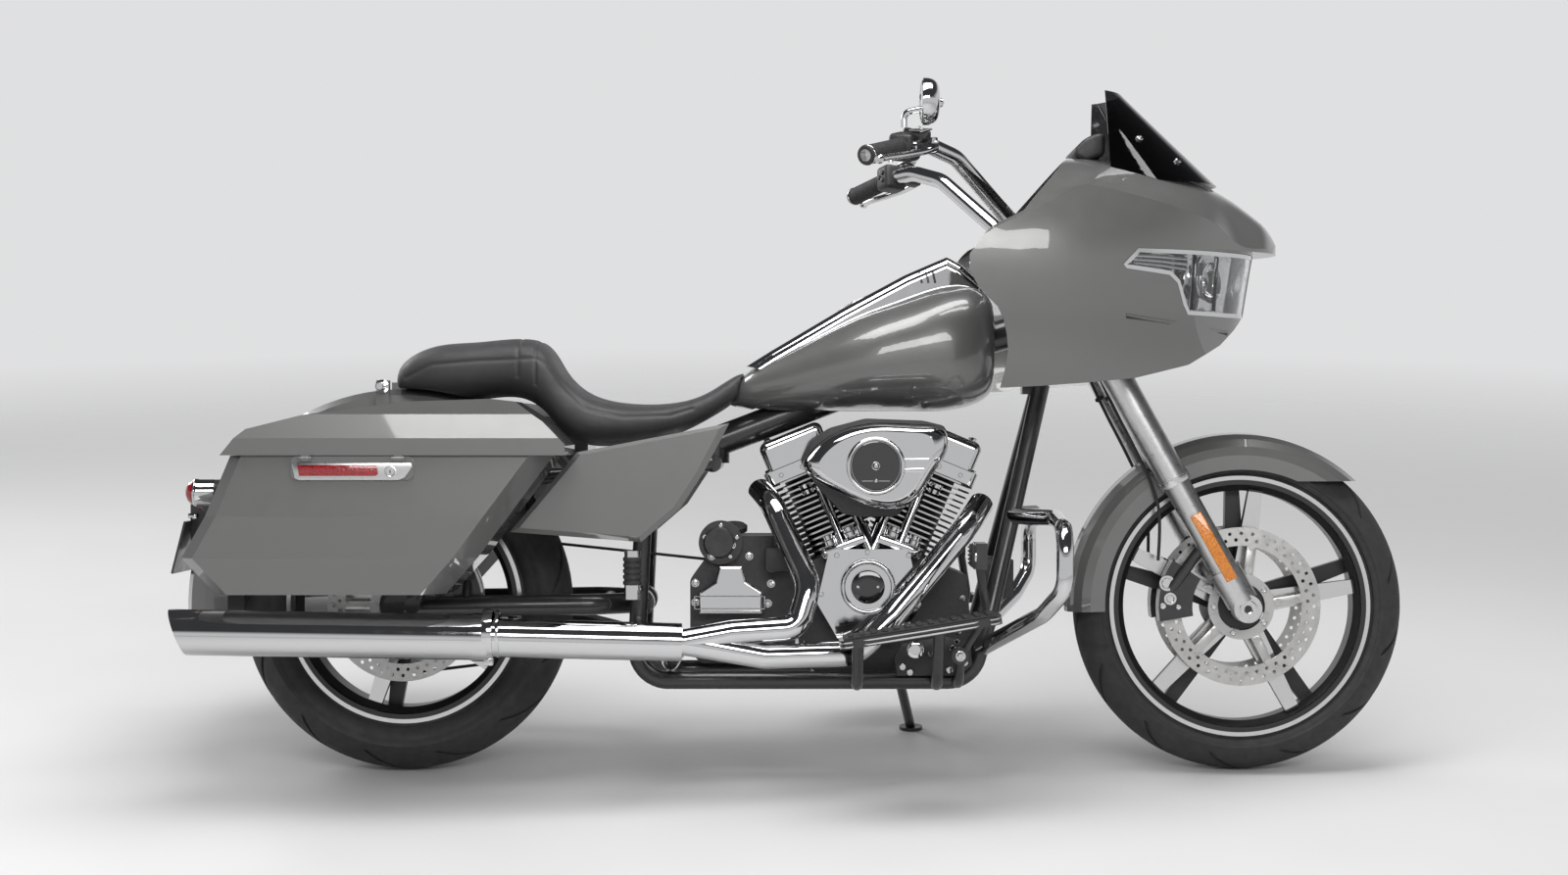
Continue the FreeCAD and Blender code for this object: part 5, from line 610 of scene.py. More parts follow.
def addDisc(bm, centre, y, radius, band, firstAngle):
    holes = []
    for index in range(discs["holesPerRow"]):
        for row, shift in discs["rows"]:
            angle = math.tau * (index + shift) / discs["holesPerRow"]
            ring = radius - band * row - 2
            holes.append((ring * math.cos(angle), ring * math.sin(angle), discs["holeRadius"], 10))
    mesh = flatRing(radius, radius - band, holes, discs["thickness"])
    hub = flatRing(discs["hubOuter"], discs["hubInner"], [], discs["thickness"])
    lay = Matrix.Translation((centre.x, y, centre.z)) @ Matrix.Rotation(math.pi / 2, 4, "X")
    for ring in (mesh, hub):
        addMesh(bm, ring, lay)
    arm = bmesh.new()
    addBlock(arm, (58, -2.4, -12), (radius - band + 6, 2.4, 6), 1.5)
    for boltX in (discs["innerBolts"], radius - band + 1):
        addRod(arm, (boltX, -6, -3), (boltX, 6, -3), discs["boltRadius"], segments=16)
    armMesh = meshOf(arm, "discArm")
    for index in range(discs["arms"]):
        angle = math.radians(firstAngle) + math.tau * index / discs["arms"]
        addMesh(bm, armMesh, pitched((centre.x, y, centre.z), -angle))


bm = bmesh.new()
for side in (-1, 1):
    addDisc(bm, frontAxle, side * discs["frontY"], **frontDisc)
finishPiece("front_brake_discs", bm, "frontDisc", "front_wheel", sharp=30, replaced=("front_discs",))

bm = bmesh.new()
addDisc(bm, rearAxle, discs["rearY"], **rearDisc)
pulleyCentre = Vector((rearAxle.x, 0, rearAxle.z))
addTurned(bm, pulleyProfile, pulleyCentre, 96)
finishPiece("rear_brake_disc_and_pulley", bm, "rearDisc", "rear_wheel", sharp=30,
            replaced=("rear_disc_and_pulley",))
print("brake discs made")


# Seat: the foam's own shape, remeshed, with seams pressed into the leather

seatShape = dict(merge=0.00002, voxel=0.006, smooth=0.5, rounds=5, seamDepth=3.2, seamWidth=5.5)
# Seams on the upright machine: points (x, z) of the line seen from the side, with |y| from low to high
seatSeams = [
    ([(2, 762), (60, 790), (150, 797), (225, 800), (262, 802)], 120, 190),
    ([(262, 802), (286, 790), (318, 748), (362, 705), (430, 690), (520, 693), (580, 712), (640, 752)],
     110, 190),
]
seatBands = [(228, 3.0), (262, 3.0)]


def nearSeam(x, z, points):
    nearest = 1e9
    for (ax, az), (bx, bz) in zip(points, points[1:]):
        runX, runZ = bx - ax, bz - az
        share = max(0, min(1, ((x - ax) * runX + (z - az) * runZ) / (runX ** 2 + runZ ** 2)))
        nearest = min(nearest, math.hypot(x - ax - share * runX, z - az - share * runZ))
    return nearest


def makeSeat():
    mesh = cadNodes["seat"].data.copy()
    mesh.materials.clear()
    seat = newObject("seat_leather", mesh)
    bm = bmesh.new()
    bm.from_mesh(mesh)
    bmesh.ops.remove_doubles(bm, verts=bm.verts, dist=seatShape["merge"])
    bm.to_mesh(mesh)
    bm.free()
    remesh = seat.modifiers.new("remesh", "REMESH")
    remesh.mode = "VOXEL"
    remesh.voxel_size = seatShape["voxel"]
    remesh.use_smooth_shade = True
    evaluated = seat.evaluated_get(bpy.context.evaluated_depsgraph_get())
    dense = bpy.data.meshes.new_from_object(evaluated)
    seat.modifiers.clear()
    bm = bmesh.new()
    bm.from_mesh(dense)
    for index in range(seatShape["rounds"]):
        bmesh.ops.smooth_vert(bm, verts=bm.verts, factor=seatShape["smooth"], use_axis_x=True,
                              use_axis_y=True, use_axis_z=True)
    bmesh.ops.subdivide_edges(bm, edges=bm.edges, cuts=1, use_grid_fill=True, smooth=0.0)
    bm.normal_update()
    shifts = {}
    for vert in bm.verts:
        place = bikeFrameBack @ vert.co
        press = 0.0
        for points, low, high in seatSeams:
            if low < abs(place.y) < high:
                gap = nearSeam(place.x, place.z, points) / seatShape["seamWidth"]
                press = max(press, math.exp(-gap * gap * 2))
        for x, width in seatBands:
            gap = (place.x - x) / width
            if abs(gap) < 3 and vert.normal.z > -0.2:
                press = max(press, math.exp(-gap * gap))
        if press > 0.01:
            shifts[vert] = vert.normal * (-0.001 * seatShape["seamDepth"] * press)
    for vert, shift in shifts.items():
        vert.co += shift
    bm.to_mesh(mesh)
    bm.free()
    mesh.materials.append(finishes["leather"])
    mesh.shade_smooth()
    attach(seat, "chassis")
    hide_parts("seat")
    return seat


makeSeat()
print("seat made")


# Air cleaner: a black back plate, a ringed dial, two ribs and the cover's screw

airCleaner = dict(dial=(908, 597), face=-302.4, dialRadius=45.5, ringRadius=50.5, ringThickness=4.6,
                  plateY=(-196, -226), ribY=(-290, -300.5), screwDrop=28, dash=(5, 26))
backPlate = [(769, 604), (800, 556), (846, 506), (885, 499), (950, 501), (984, 538), (1012, 596), (1046, 656),
             (1040, 672), (1000, 682), (890, 686), (822, 668), (786, 644)]


def makeAirCleaner():
    bm = bmesh.new()
    addPanel(bm, backPlate, *airCleaner["plateY"], 6)
    finishPiece("air_cleaner_back_plate", bm, "castBlack")
    x, z = airCleaner["dial"]
    face = airCleaner["face"]
    bm = bmesh.new()
    radius = airCleaner["dialRadius"]
    addLathe(bm, [(0, -1), (radius, -1), (radius, 2.4), (radius - 1.5, 3.4), (0, 3.4)], (x, face, z),
             (0, -1, 0), 64)
    finishPiece("air_cleaner_dial", bm, "blackGloss")
    bm = bmesh.new()
    addTorus(bm, (x, face + 3, z), (0, 1, 0), airCleaner["ringRadius"], airCleaner["ringThickness"])
    addTorus(bm, (x, face - 3.4, z), (0, 1, 0), 7, 0.8, 32)
    addBolt(bm, (x, face - 3.2, z), (0, -1, 0), 4.2)
    low, (near, far) = z - airCleaner["screwDrop"], airCleaner["dash"]
    addBolt(bm, (x, face - 3.2, low), (0, -1, 0), 3.2)
    for start, end in ((x - far, x - near), (x + near, x + far)):
        addBlock(bm, (start, face - 4.2, low - 0.6), (end, face - 3, low + 0.6))
    low, high = airCleaner["ribY"]
    addPanel(bm, [(952, 607), (1007, 607), (1009, 612), (952, 612)], low, high, 1.6)
    addPanel(bm, [(952, 584), (996, 584), (1001, 594), (952, 594)], low, high, 2.4)
    finishPiece("air_cleaner_trim", bm, "chrome")


makeAirCleaner()

# Engine: points on a cylinder's own axes, forward or rearward, across and up from the crank

crank = Vector((905, 0, 310))
cylinderTilt = math.radians(22.5)


def onCylinder(side, run, across, rise):
    sine, cosine = math.sin(cylinderTilt), math.cos(cylinderTilt)
    return crank + Vector((side * rise * sine + run * cosine, across, rise * cosine - side * run * sine))


def cylinderUp(side):
    return Vector((side * math.sin(cylinderTilt), 0, math.cos(cylinderTilt)))


rockerTrim = dict(low=300, step=26, top=384, shift=14, baseY=84, coverY=74)


def makeRockerTrim():
    bolts, seams = bmesh.new(), bmesh.new()
    for side in (-1, 1):
        up = cylinderUp(side)
        shift = side * rockerTrim["shift"]
        for across in (-1, 1):
            for run in (-66, 66):
                place = onCylinder(side, shift + run, across * rockerTrim["coverY"],
                                   rockerTrim["low"] + rockerTrim["step"])
                addBolt(bolts, place, up, 6.4, "hex")
            for run in (-44, 0, 44):
                place = onCylinder(side, shift + run, across * rockerTrim["baseY"],
                                   rockerTrim["low"] + rockerTrim["step"] / 2)
                addBolt(bolts, place, (0, across, 0), 4.6)
            # The gasket lines between head, rocker base and cover
            for rise, width in ((300, 84.4), (326, 73.4)):
                ends = [onCylinder(side, shift + run, across * width, rise) for run in (-66, 66)]
                addRod(seams, *ends, 1.3, segments=8)
        # Breather bolts on the outer ends
        for across in (-34, 34):
            addBolt(bolts, onCylinder(side, shift + side * 44, across, rockerTrim["top"]), up, 8.0, "hex")
    finishPiece("rocker_bolts", bolts, "chrome")
    finishPiece("rocker_gaskets", seams, "blackMetal")


makeRockerTrim()

# Tappet blocks and collars on the pushrod tubes
tappets = dict(tubeY=114, blockRise=140, lowRise=132, topRise=320, inward=42, screwRise=149,
               block=((-44, -16, -8), (44, 14, 9)), screws=(-36, -12, 12, 36), tubes=(-22, 22),
               rings=((158, 15), (168, 12.5), (264, 12), (276, 13.5)))


def makeTappets():
    bm = bmesh.new()
    for side in (-1, 1):
        up = cylinderUp(side)
        place = onCylinder(side, 0, -tappets["tubeY"], tappets["blockRise"])
        addBlock(bm, *tappets["block"], 3, place=pitched(place, side * cylinderTilt))
        for run in tappets["screws"]:
            addBolt(bm, onCylinder(side, run, -tappets["tubeY"] - 9, tappets["screwRise"]), up, 4.8)
        for run in tappets["tubes"]:
            for rise, radius in tappets["rings"]:
                share = (rise - tappets["lowRise"]) / (tappets["topRise"] - tappets["lowRise"])
                across = -tappets["tubeY"] + share * tappets["inward"]
                addLathe(bm, [(9, -4), (radius, -4), (radius, 4), (9, 4), (9, -4)],
                         onCylinder(side, run, across, rise), up, 24)
    finishPiece("tappet_blocks", bm, "chrome", sharp=40)


makeTappets()

# Cam cover: a ringed timer cover and its screws
camCover = dict(timer=(897, 365), face=-143.0, outerRing=49.0, boltRadius=5.2)
camBolts = [(838, 424), (897, 430), (976, 424), (808, 350), (990, 350), (850, 272), (900, 266), (950, 272)]


def makeCamCover():
    x, z = camCover["timer"]
    face = camCover["face"]
    bm = bmesh.new()
    addTorus(bm, (x, face - 30, z), (0, 1, 0), camCover["outerRing"] - 1, 4.6, 72)
    addTorus(bm, (x, face - 28, z), (0, 1, 0), 29, 1.5, 48)
    for shift in (-19, 19):
        addBolt(bm, (x + shift, face - 30.4, z), (0, -1, 0), 3.0)
    for boltX, boltZ in camBolts:
        boltOn(bm, "engine_covers", boltX, boltZ, -1, camCover["boltRadius"], sink=-0.5)
    finishPiece("timer_cover_rings", bm, "chrome")
    bm = bmesh.new()
    addLathe(bm, [(0, -2), (32, -2), (32, 2), (30, 3), (16, 3.8), (0, 4.2)], (x, face - 27, z), (0, -1, 0),
             64)
    finishPiece("timer_cover_face", bm, "blackGloss")


makeCamCover()

# Gearbox: screws round its two covers, a raised line, and the filler, plug and sensor above
gearboxTrim = dict(roundCover=(615, 448), circle=33, filler=(640, -70, 470), plug=(612, -106, 448),
                   sensorLow=(700, -150, 392), sensorHigh=(752, -104, 440), lead=(720, -128))
gearboxBolts = [(598, 422), (670, 421), (566, 369), (712, 368), (566, 332), (706, 330), (637, 443),
                (575, 250), (640, 236), (712, 250)]


def makeGearboxTrim():
    bm = bmesh.new()
    for x, z in gearboxBolts:
        boltOn(bm, "gearbox", x, z, -1, 7.4, "hex")
    coverX, coverZ = gearboxTrim["roundCover"]
    for x, z in circlePoints(gearboxTrim["circle"], 5, 0.3):
        boltOn(bm, "gearbox", coverX + x, coverZ + z, -1, 4.4)
    addPipe(bm, [(566, -150, 322), (700, -150, 322), (700, -150, 346), (566, -150, 346)], 1.6, 2, True,
            resolution=1)
    finishPiece("gearbox_screws", bm, "chrome")
    bm = bmesh.new()
    addLathe(bm, [(0, 0), (26, 0), (26, 9), (22, 12), (0, 12)], gearboxTrim["filler"], (0, -0.3, 1), 32)
    addLathe(bm, [(0, 0), (30, 0), (30, 22), (27, 26), (12, 26), (0, 24)], gearboxTrim["plug"], (0, -1, 0),
             40)
    addBlock(bm, gearboxTrim["sensorLow"], gearboxTrim["sensorHigh"], 6)
    addRod(bm, (*gearboxTrim["lead"], 440), (*gearboxTrim["lead"], 462), 6)
    finishPiece("gearbox_fittings", bm, "castBlack")


makeGearboxTrim()

# Bolts round the crankcase, the frame's foot plates and the electrical box between the downtubes
caseTrim = dict(plateY=(168, 174), pivot=(987, 246), boxLow=(1124, -58, 334), boxHigh=(1168, 58, 416),
                ribs=9, ribStep=12)
caseBolts = [(776, 366), (776, 300), (776, 250), (1082, 340), (1074, 276), (1030, 252)]
footPlate = [(952, 196), (1072, 196), (1096, 216), (1092, 262), (1040, 272), (962, 258), (946, 232)]
footPlateBolts = [(1017, 239, 6), (1028, 260, 5), (1058, 249, 6), (1066, 261, 5), (963, 213, 6.5),
                  (977, 203, 6.5), (1052, 207, 6.5), (1081, 221, 6.5)]


def makeCaseTrim():
    bolts, plates = bmesh.new(), bmesh.new()
    for side in (-1, 1):
        for x, z in caseBolts:
            boltOn(bolts, "engine_case", x, z, side, 6.4)
        inner, outer = (side * y for y in caseTrim["plateY"])
        addPanel(plates, footPlate, inner, outer, 2)
        for x, z, radius in footPlateBolts:
            addBolt(bolts, (x, outer, z), (0, side, 0), radius)
        x, z = caseTrim["pivot"]
        addLathe(bolts, [(0, 0), (16, 0), (16, 9), (12, 11), (9, 11), (9, 8), (0, 8)], (x, outer, z),
                 (0, side, 0), 32)
    finishPiece("case_bolts", bolts, "chrome")
    addBlock(plates, caseTrim["boxLow"], caseTrim["boxHigh"], 5)
    for index in range(caseTrim["ribs"]):
        y = caseTrim["ribStep"] * (index - (caseTrim["ribs"] - 1) / 2)
        addBlock(plates, (1164, y - 2, 338), (1184, y + 2, 412), 1.2, 1)
    finishPiece("electrical_box", plates, "castBlack")


makeCaseTrim()

# Primary cover on the left: a round clutch cover, an inspection cover and screws round the edge
primaryCover = dict(front=(905, 312, 98), rear=(672, 312, 88), shift=14, boltInset=9, boltRadius=5.4,
                    boltTurns=(-0.42, -0.14, 0.14, 0.42), clutchCircle=58)
edgeBolts = [(750, 232), (750, 392), (828, 232), (828, 392)]
inspectionCover = [(818, 290), (850, 272), (900, 272), (932, 290), (932, 334), (900, 352), (850, 352),
                   (818, 334)]
inspectionBolts = [(836, 288), (914, 288), (836, 336), (914, 336)]


def makePrimaryTrim():
    bm = bmesh.new()
    rearX, rearZ, rearRadius = primaryCover["rear"]
    frontX, frontZ, frontRadius = primaryCover["front"]
    for x, z, side in ((frontX, frontZ, 1), (rearX, rearZ, -1)):
        reach = (frontRadius if side > 0 else rearRadius) - primaryCover["boltInset"]
        for turnShare in primaryCover["boltTurns"]:
            angle = math.pi * turnShare
            boltOn(bm, "primary_cover", x + side * reach * math.cos(angle), z + reach * math.sin(angle), 1,
                   primaryCover["boltRadius"], sink=-0.5)
    for x, z in edgeBolts:
        boltOn(bm, "primary_cover", x, z, 1, primaryCover["boltRadius"], sink=-0.5)
    place, normal = onNode("primary_cover", rearX, rearZ, 1)
    face = place.y - 1
    middleX = rearX + primaryCover["shift"]
    addLathe(bm, [(0, 0), (68, 0), (68, 5), (62, 9), (54, 9), (50, 6), (0, 7)], (middleX, face, rearZ),
             (0, 1, 0), 72)
    for x, z in circlePoints(primaryCover["clutchCircle"], 5, math.pi / 2):
        addBolt(bm, (middleX + x, face + 9, rearZ + z), (0, 1, 0), 4.6)
    addPanel(bm, inspectionCover, face, face + 6, 2.4)
    for x, z in inspectionBolts:
        addBolt(bm, (x, face + 6, z), (0, 1, 0), 4.2)
    finishPiece("primary_cover_trim", bm, "chrome")


makePrimaryTrim()
print("engine dressed")

# Exhaust: a clamp with its bolt and a collar on each muffler, and dark bores
mufflerTrim = dict(y=320, z=289, boreX=-343, collarDrop=3, collars=((189, 46.2, 9), (207, 44.6, 3)),
                   clampLow=(180, -10, -62), clampHigh=(198, 10, -46), boltX=189, boltDrop=54)
boreProfile = [(38.8, 60), (38.8, 8), (30, 2), (24, 2), (24, 50), (0, 50)]


def makeExhaustTrim():
    rings, bores = bmesh.new(), bmesh.new()
    for side in (-1, 1):
        y, z = side * mufflerTrim["y"], mufflerTrim["z"]
        for x, radius, half in mufflerTrim["collars"]:
            addLathe(rings, [(radius - 4, -half), (radius, -half), (radius + 0.8, 0), (radius, half),
                             (radius - 4, half)], (x, y, z - mufflerTrim["collarDrop"]), (1, 0, 0.01), 64)
        middle = Vector((0, y, z))
        addBlock(rings, middle + Vector(mufflerTrim["clampLow"]), middle + Vector(mufflerTrim["clampHigh"]),
                 3)
        addBolt(rings, (mufflerTrim["boltX"], y + side * 9, z - mufflerTrim["boltDrop"]), (0, side, 0), 5.5,
                "hex")
        addLathe(bores, boreProfile, (mufflerTrim["boreX"], y, z), (1, 0, 0), 48)
    finishPiece("exhaust_clamps", rings, "chrome")
    finishPiece("muffler_bores", bores, "blackMetal")


makeExhaustTrim()
print("exhaust dressed")

# Saddlebags: a bright plate with a red reflector and a lock, its key slot a black bar of painted shade
bagTrim = dict(face=430.3, plateDepth=2.6, lock=(22, 588))
bagPlate = [(-157, 601), (-152, 576), (-144, 572.5), (36, 572.5), (48, 577), (62, 597), (60, 604.5),
            (-154, 604.5)]
bagReflector = [(-147, 600), (-144, 580), (-4, 580), (0, 584), (-2, 600)]


def makeBagTrim():
    for side, name in ((-1, "right"), (1, "left")):
        face = side * bagTrim["face"]
        front = face + side * bagTrim["plateDepth"]
        bm = bmesh.new()
        addPanel(bm, bagPlate, face - side * 1.5, front, 1.2)
        x, z = bagTrim["lock"]
        addLathe(bm, [(0, 0), (11, 0), (11, 1.4), (9, 1.8), (7.6, 0.9), (0, 0.9)], (x, front, z),
                 (0, side, 0), 32)
        addLathe(bm, [(0, 0.9), (4.4, 0.9), (4.4, 2.0), (0, 2.0)], (x, front, z), (0, side, 0), 24)
        finishPiece("bag_plate_" + name, bm, "silver")
        bm = bmesh.new()
        addPanel(bm, bagReflector, face, front + side * 1.0, 0.9)
        finishPiece("bag_reflector_" + name, bm, "red")
        # A black bar on the lock face: painted shade of the key slot
        bm = bmesh.new()
        addBlock(bm, (x - 1, front + side * 2.0 - 0.3, z - 3), (x + 1, front + side * 2.0 + 0.3, z + 3))
        finishPiece("bag_keyhole_shade_" + name, bm, "blackMetal")


makeBagTrim()
print("saddlebags dressed")

# Docking studs: turned, bright, with a groove near the end
studs = dict(place=(-35, 124, 748), radius=8.2, length=40)


def makeStuds():
    bm = bmesh.new()
    radius, length = studs["radius"], studs["length"]
    for side in (-1, 1):
        addLathe(bm, [(0, 2), (radius + 5, 2), (radius + 5, 6), (radius, 7), (radius, length * 0.55),
                      (radius - 2.4, length * 0.6), (radius - 2.4, length * 0.75), (radius, length * 0.8),
                      (radius, length - 2), (radius - 2, length + 0.2), (0, length + 0.2)],
                 mirrored(studs["place"], side), (0, side, 0), 40)
    finishPiece("docking_studs", bm, "chrome")


makeStuds()

# Tail: a red lens, round red signals in chrome housings, and the blank plate on its holder
tail = dict(lampX=-402, lampLow=505, lampHigh=567, lampHalf=52, signal=(-368, 180, 545), signalRadius=25,
            plateTop=(-424, 0, 488), plateSize=(178, 104), tilt=14)


def makeTail():
    bm = bmesh.new()
    addBlock(bm, (tail["lampX"] - 5, -tail["lampHalf"] + 5, tail["lampLow"] + 6),
             (tail["lampX"] + 8, tail["lampHalf"] - 5, tail["lampHigh"] - 6), 5, 3)
    x, y, z = tail["signal"]
    radius = tail["signalRadius"]
    for side in (-1, 1):
        addLathe(bm, [(0, 19), (12, 17.5), (20, 12), (radius - 1.5, 4), (radius - 1.5, -4), (0, -4)],
                 (x - 14, side * y, z), (-1, 0, 0), 48)
    finishPiece("tail_lenses", bm, "red")
    bm = bmesh.new()
    for side in (-1, 1):
        addLathe(bm, [(radius + 0.6, -1), (radius + 1.6, 2), (radius + 1.6, 6), (radius + 0.6, 10),
                      (radius + 0.6, 38), (20, 50), (9, 57), (0, 58)], (x - 16, side * y, z), (1, 0, 0), 48)
        addTorus(bm, (x - 14, side * y, z), (1, 0, 0), radius, 2.0, 48)
    addRod(bm, (x + 8, -y, z), (x + 8, y, z), 9.0)
    finishPiece("signal_housings", bm, "chrome")
    top = Vector(tail["plateTop"])
    tip = pitched(top, math.radians(tail["tilt"]))
    width, height = tail["plateSize"]
    bm = bmesh.new()
    addBlock(bm, (-1.2, -width / 2 + 3, -height + 3), (0.5, width / 2 - 3, -3), 0.5, place=tip)
    finishPiece("blank_plate", bm, "plate")
    bm = bmesh.new()
    for y in (-62, 62):
        for drop in (-14, -height + 14):
            addBolt(bm, tip @ Vector((-1.2, y, drop)), tip.to_3x3() @ Vector((-1, 0, 0)), 4.6)
    addBlock(bm, (top.x - 3, -40, top.z + 3), (top.x + 16, 40, top.z + 14), 3)
    finishPiece("plate_fixings", bm, "chrome")


makeTail()
print("tail dressed")


# Lamps: a chrome rim and a bright bowl, both from the lens's own outer face, and reflectors inside
lamps = dict(rim=8.0, rimRise=1.4, rimDepth=3.0, bowlEdge=5.0, bowlDepth=24.0, cup=(1536, 180, 944),
             cupRadius=36.0, stripTop=996, bars=(1504, 1552), outwardsLimit=0.03, merge=0.00002)
stripRoute = [(1384, 972), (1410, 970), (1440, 968), (1470, 964), (1492, 962)]


def lensFace(side):
    bm = bmesh.new()
    bm.from_mesh(cadNodes["headlamp"].data)
    bmesh.ops.remove_doubles(bm, verts=bm.verts, dist=lamps["merge"])
    bmesh.ops.transform(bm, matrix=bikeFrameBack, verts=bm.verts)
    bm.normal_update()
    others = [face for face in bm.faces
              if face.normal.y * side < lamps["outwardsLimit"] or face.calc_center_median().y * side < 0]
    bmesh.ops.delete(bm, geom=others, context="FACES")
    return bm


def makeLamps():
    for side, name in ((-1, "right"), (1, "left")):
        bm = lensFace(side)
        inner = list(bm.faces)
        bmesh.ops.inset_region(bm, faces=inner, thickness=lamps["rim"], use_boundary=True)
        bmesh.ops.delete(bm, geom=inner, context="FACES")
        for vert in bm.verts:
            vert.co += vert.normal * lamps["rimRise"]
        bmesh.ops.solidify(bm, geom=bm.faces[:], thickness=lamps["rimDepth"])
        finishPiece("lamp_rim_" + name, bm, "chrome")
        bm = lensFace(side)
        for vert in bm.verts:
            vert.co -= vert.normal * 8
        back = list(bm.faces)
        bmesh.ops.inset_region(bm, faces=back, thickness=lamps["bowlEdge"], depth=-lamps["bowlDepth"],
                               use_boundary=True)
        bmesh.ops.solidify(bm, geom=bm.faces[:], thickness=1.5)
        finishPiece("lamp_bowl_" + name, bm, "reflector", sharp=40)
        bm = bmesh.new()
        cup = mirrored(lamps["cup"], side)
        radius = lamps["cupRadius"]
        aim = Vector((0.80, side * 0.60, 0))
        addLathe(bm, [(0, -16), (9, -16), (radius * 0.62, -10), (radius * 0.9, 2), (radius, 14),
                      (radius + 3, 14), (radius + 3, 10), (radius * 0.94, -1), (radius * 0.6, -14), (9, -20),
                      (0, -20)], cup, aim, 48)
        addLathe(bm, [(0, 4), (7, 2), (11, -4), (11, -17), (0, -17)], cup, aim, 32)
        bars = bmesh.new()
        for barX in lamps["bars"]:
            place, normal = onNode("headlamp", barX, 940, side)
            if place is not None:
                addPanel(bars, [(barX - 4, 893), (barX + 4, 890), (barX + 9, 992), (barX + 1, 996)],
                         place.y - side * 6, place.y - side * 30, 1.2)
        finishPiece("lamp_reflectors_" + name, bm, "chrome")
        finishPiece("lamp_bars_" + name, bars, "blackGloss")
        bm = bmesh.new()
        for share in (0.12, 0.4, 0.68):
            route = []
            for x, low in stripRoute:
                z = low + share * (lamps["stripTop"] - low)
                place, normal = onNode("headlamp", x, z, side)
                if place is not None:
                    route.append(place - Vector((0, side * 12, 0)))
            if len(route) > 2:
                addPipe(bm, route, 3.4)
        finishPiece("lamp_strips_" + name, bm, "silver")


makeLamps()

# Windshield: four screws, and the black hood over the instruments behind it
shieldScrews = [(1417, 1222), (1492, 1180)]
hoodHalf = 98
hoodOutline = [(1300, 1192), (1296, 1206), (1318, 1228), (1340, 1238), (1358, 1238), (1358, 1196),
               (1322, 1184)]


def makeShieldTrim():
    bm = bmesh.new()
    for side in (-1, 1):
        for x, z in shieldScrews:
            boltOn(bm, "windshield", x, z, side, 6.5, flat=False)
    finishPiece("windshield_screws", bm, "chrome")
    bm = bmesh.new()
    addPanel(bm, hoodOutline, -hoodHalf, hoodHalf, 9, 4)
    finishPiece("instrument_hood", bm, "plastic")


makeShieldTrim()

# Fairing: the raised edge over the crease below the lamp, and a black strip laid in the crease as painted
# shade
creaseRoute = [(1372, 875), (1420, 869), (1480, 862), (1540, 855), (1586, 849)]


def makeCrease():
    dark, edge = bmesh.new(), bmesh.new()
    for side in (-1, 1):
        for bm, rise, inset, radius in ((edge, 3, 1.2, 3.4), (dark, -2, 0.4, 1.8)):
            found = [onNode("fairing_shell", x, z + rise, side) for x, z in creaseRoute]
            route = [place - normal * inset for place, normal in found if place is not None]
            if len(route) > 2:
                addPipe(bm, route, radius)
    # The black strip in the crease is painted shade of the groove
    finishPiece("fairing_crease", dark, "plastic")
    finishPiece("fairing_crease_edge", edge, "paint")


makeCrease()

# Instruments: two round gauges with marks and needles, and speaker grilles
gauges = dict(x=1330.4, y=66, z=1112, radius=42.4, bezelX=1323.5, bezelRadius=46.5, marks=13, sweep=250)
speakers = dict(x=1331.4, y=272, z=978, radius=52, rings=6)


def makeInstruments():
    faces, marks, bezels, grilles = (bmesh.new() for index in range(4))
    radius = gauges["radius"]
    for side in (-1, 1):
        place = Vector((gauges["x"], side * gauges["y"], gauges["z"]))
        addLathe(faces, [(0, 0), (radius, 0), (radius, -2), (0, -2)], place, (-1, 0, 0), 64)
        for index in range(gauges["marks"]):
            angle = math.radians(-gauges["sweep"] / 2 + gauges["sweep"] * index / (gauges["marks"] - 1))
            out = Vector((0, math.sin(angle), math.cos(angle)))
            start = radius * (0.72 if index % 3 else 0.62)
            addRod(marks, place + out * start - forward * 0.4, place + out * radius * 0.88 - forward * 0.4,
                   0.9, segments=6)
        angle = math.radians(-gauges["sweep"] / 2)
        out = Vector((0, math.sin(angle), math.cos(angle)))
        addRod(marks, place - forward * 1.6, place + out * radius * 0.7 - forward * 1.6, 1.2, 0.5, 8)
        addLathe(bezels, [(0, 0), (5, 0), (5, 3), (3, 4.4), (0, 4.4)], place, (-1, 0, 0), 24)
        addTorus(bezels, (gauges["bezelX"], place.y, place.z), (1, 0, 0), gauges["bezelRadius"], 3.0)
        spot = Vector((speakers["x"], side * speakers["y"], speakers["z"]))
        for index in range(speakers["rings"]):
            addTorus(grilles, spot - forward * 1.5, (1, 0, 0),
                     speakers["radius"] * (index + 1) / speakers["rings"], 1.5, 48)
        for index in range(8):
            angle = math.tau * index / 8
            out = Vector((0, math.sin(angle), math.cos(angle)))
            addRod(grilles, spot + out * 6 - forward * 1.5, spot + out * speakers["radius"] - forward * 1.5,
                   1.4, segments=8)
    finishPiece("gauge_faces", faces, "gaugeFace")
    finishPiece("gauge_marks", marks, "paleMark")
    finishPiece("gauge_bezels", bezels, "chrome")
    finishPiece("speaker_grilles", grilles, "plastic")


makeInstruments()
print("fairing dressed")

# Hand controls: ribbed grips with bright end rings, switch housings, reservoirs and levers

controls = dict(inner=(965, 330, 1190), outer=(884, 457, 1160), gripRadius=16.6, ribRadius=18.0, ribs=15,
                housingLength=27, reach=62, leverLength=172,
                # Low and high corners along the bar, ahead and up, and places on the same axes
                housing=((-14, -26, -27), (29, 24, 25)), perch=((-16, 20, -11), (10, 60, 11)),
                reservoir=((-22, 12, 10), (14, 40, 30)), lid=((-23, 11, 29.5), (15, 41, 33.5)),
                lidScrews=((-16, 17), (8, 35)), buttons=((4, 8), (4, -8), (16, 0)))


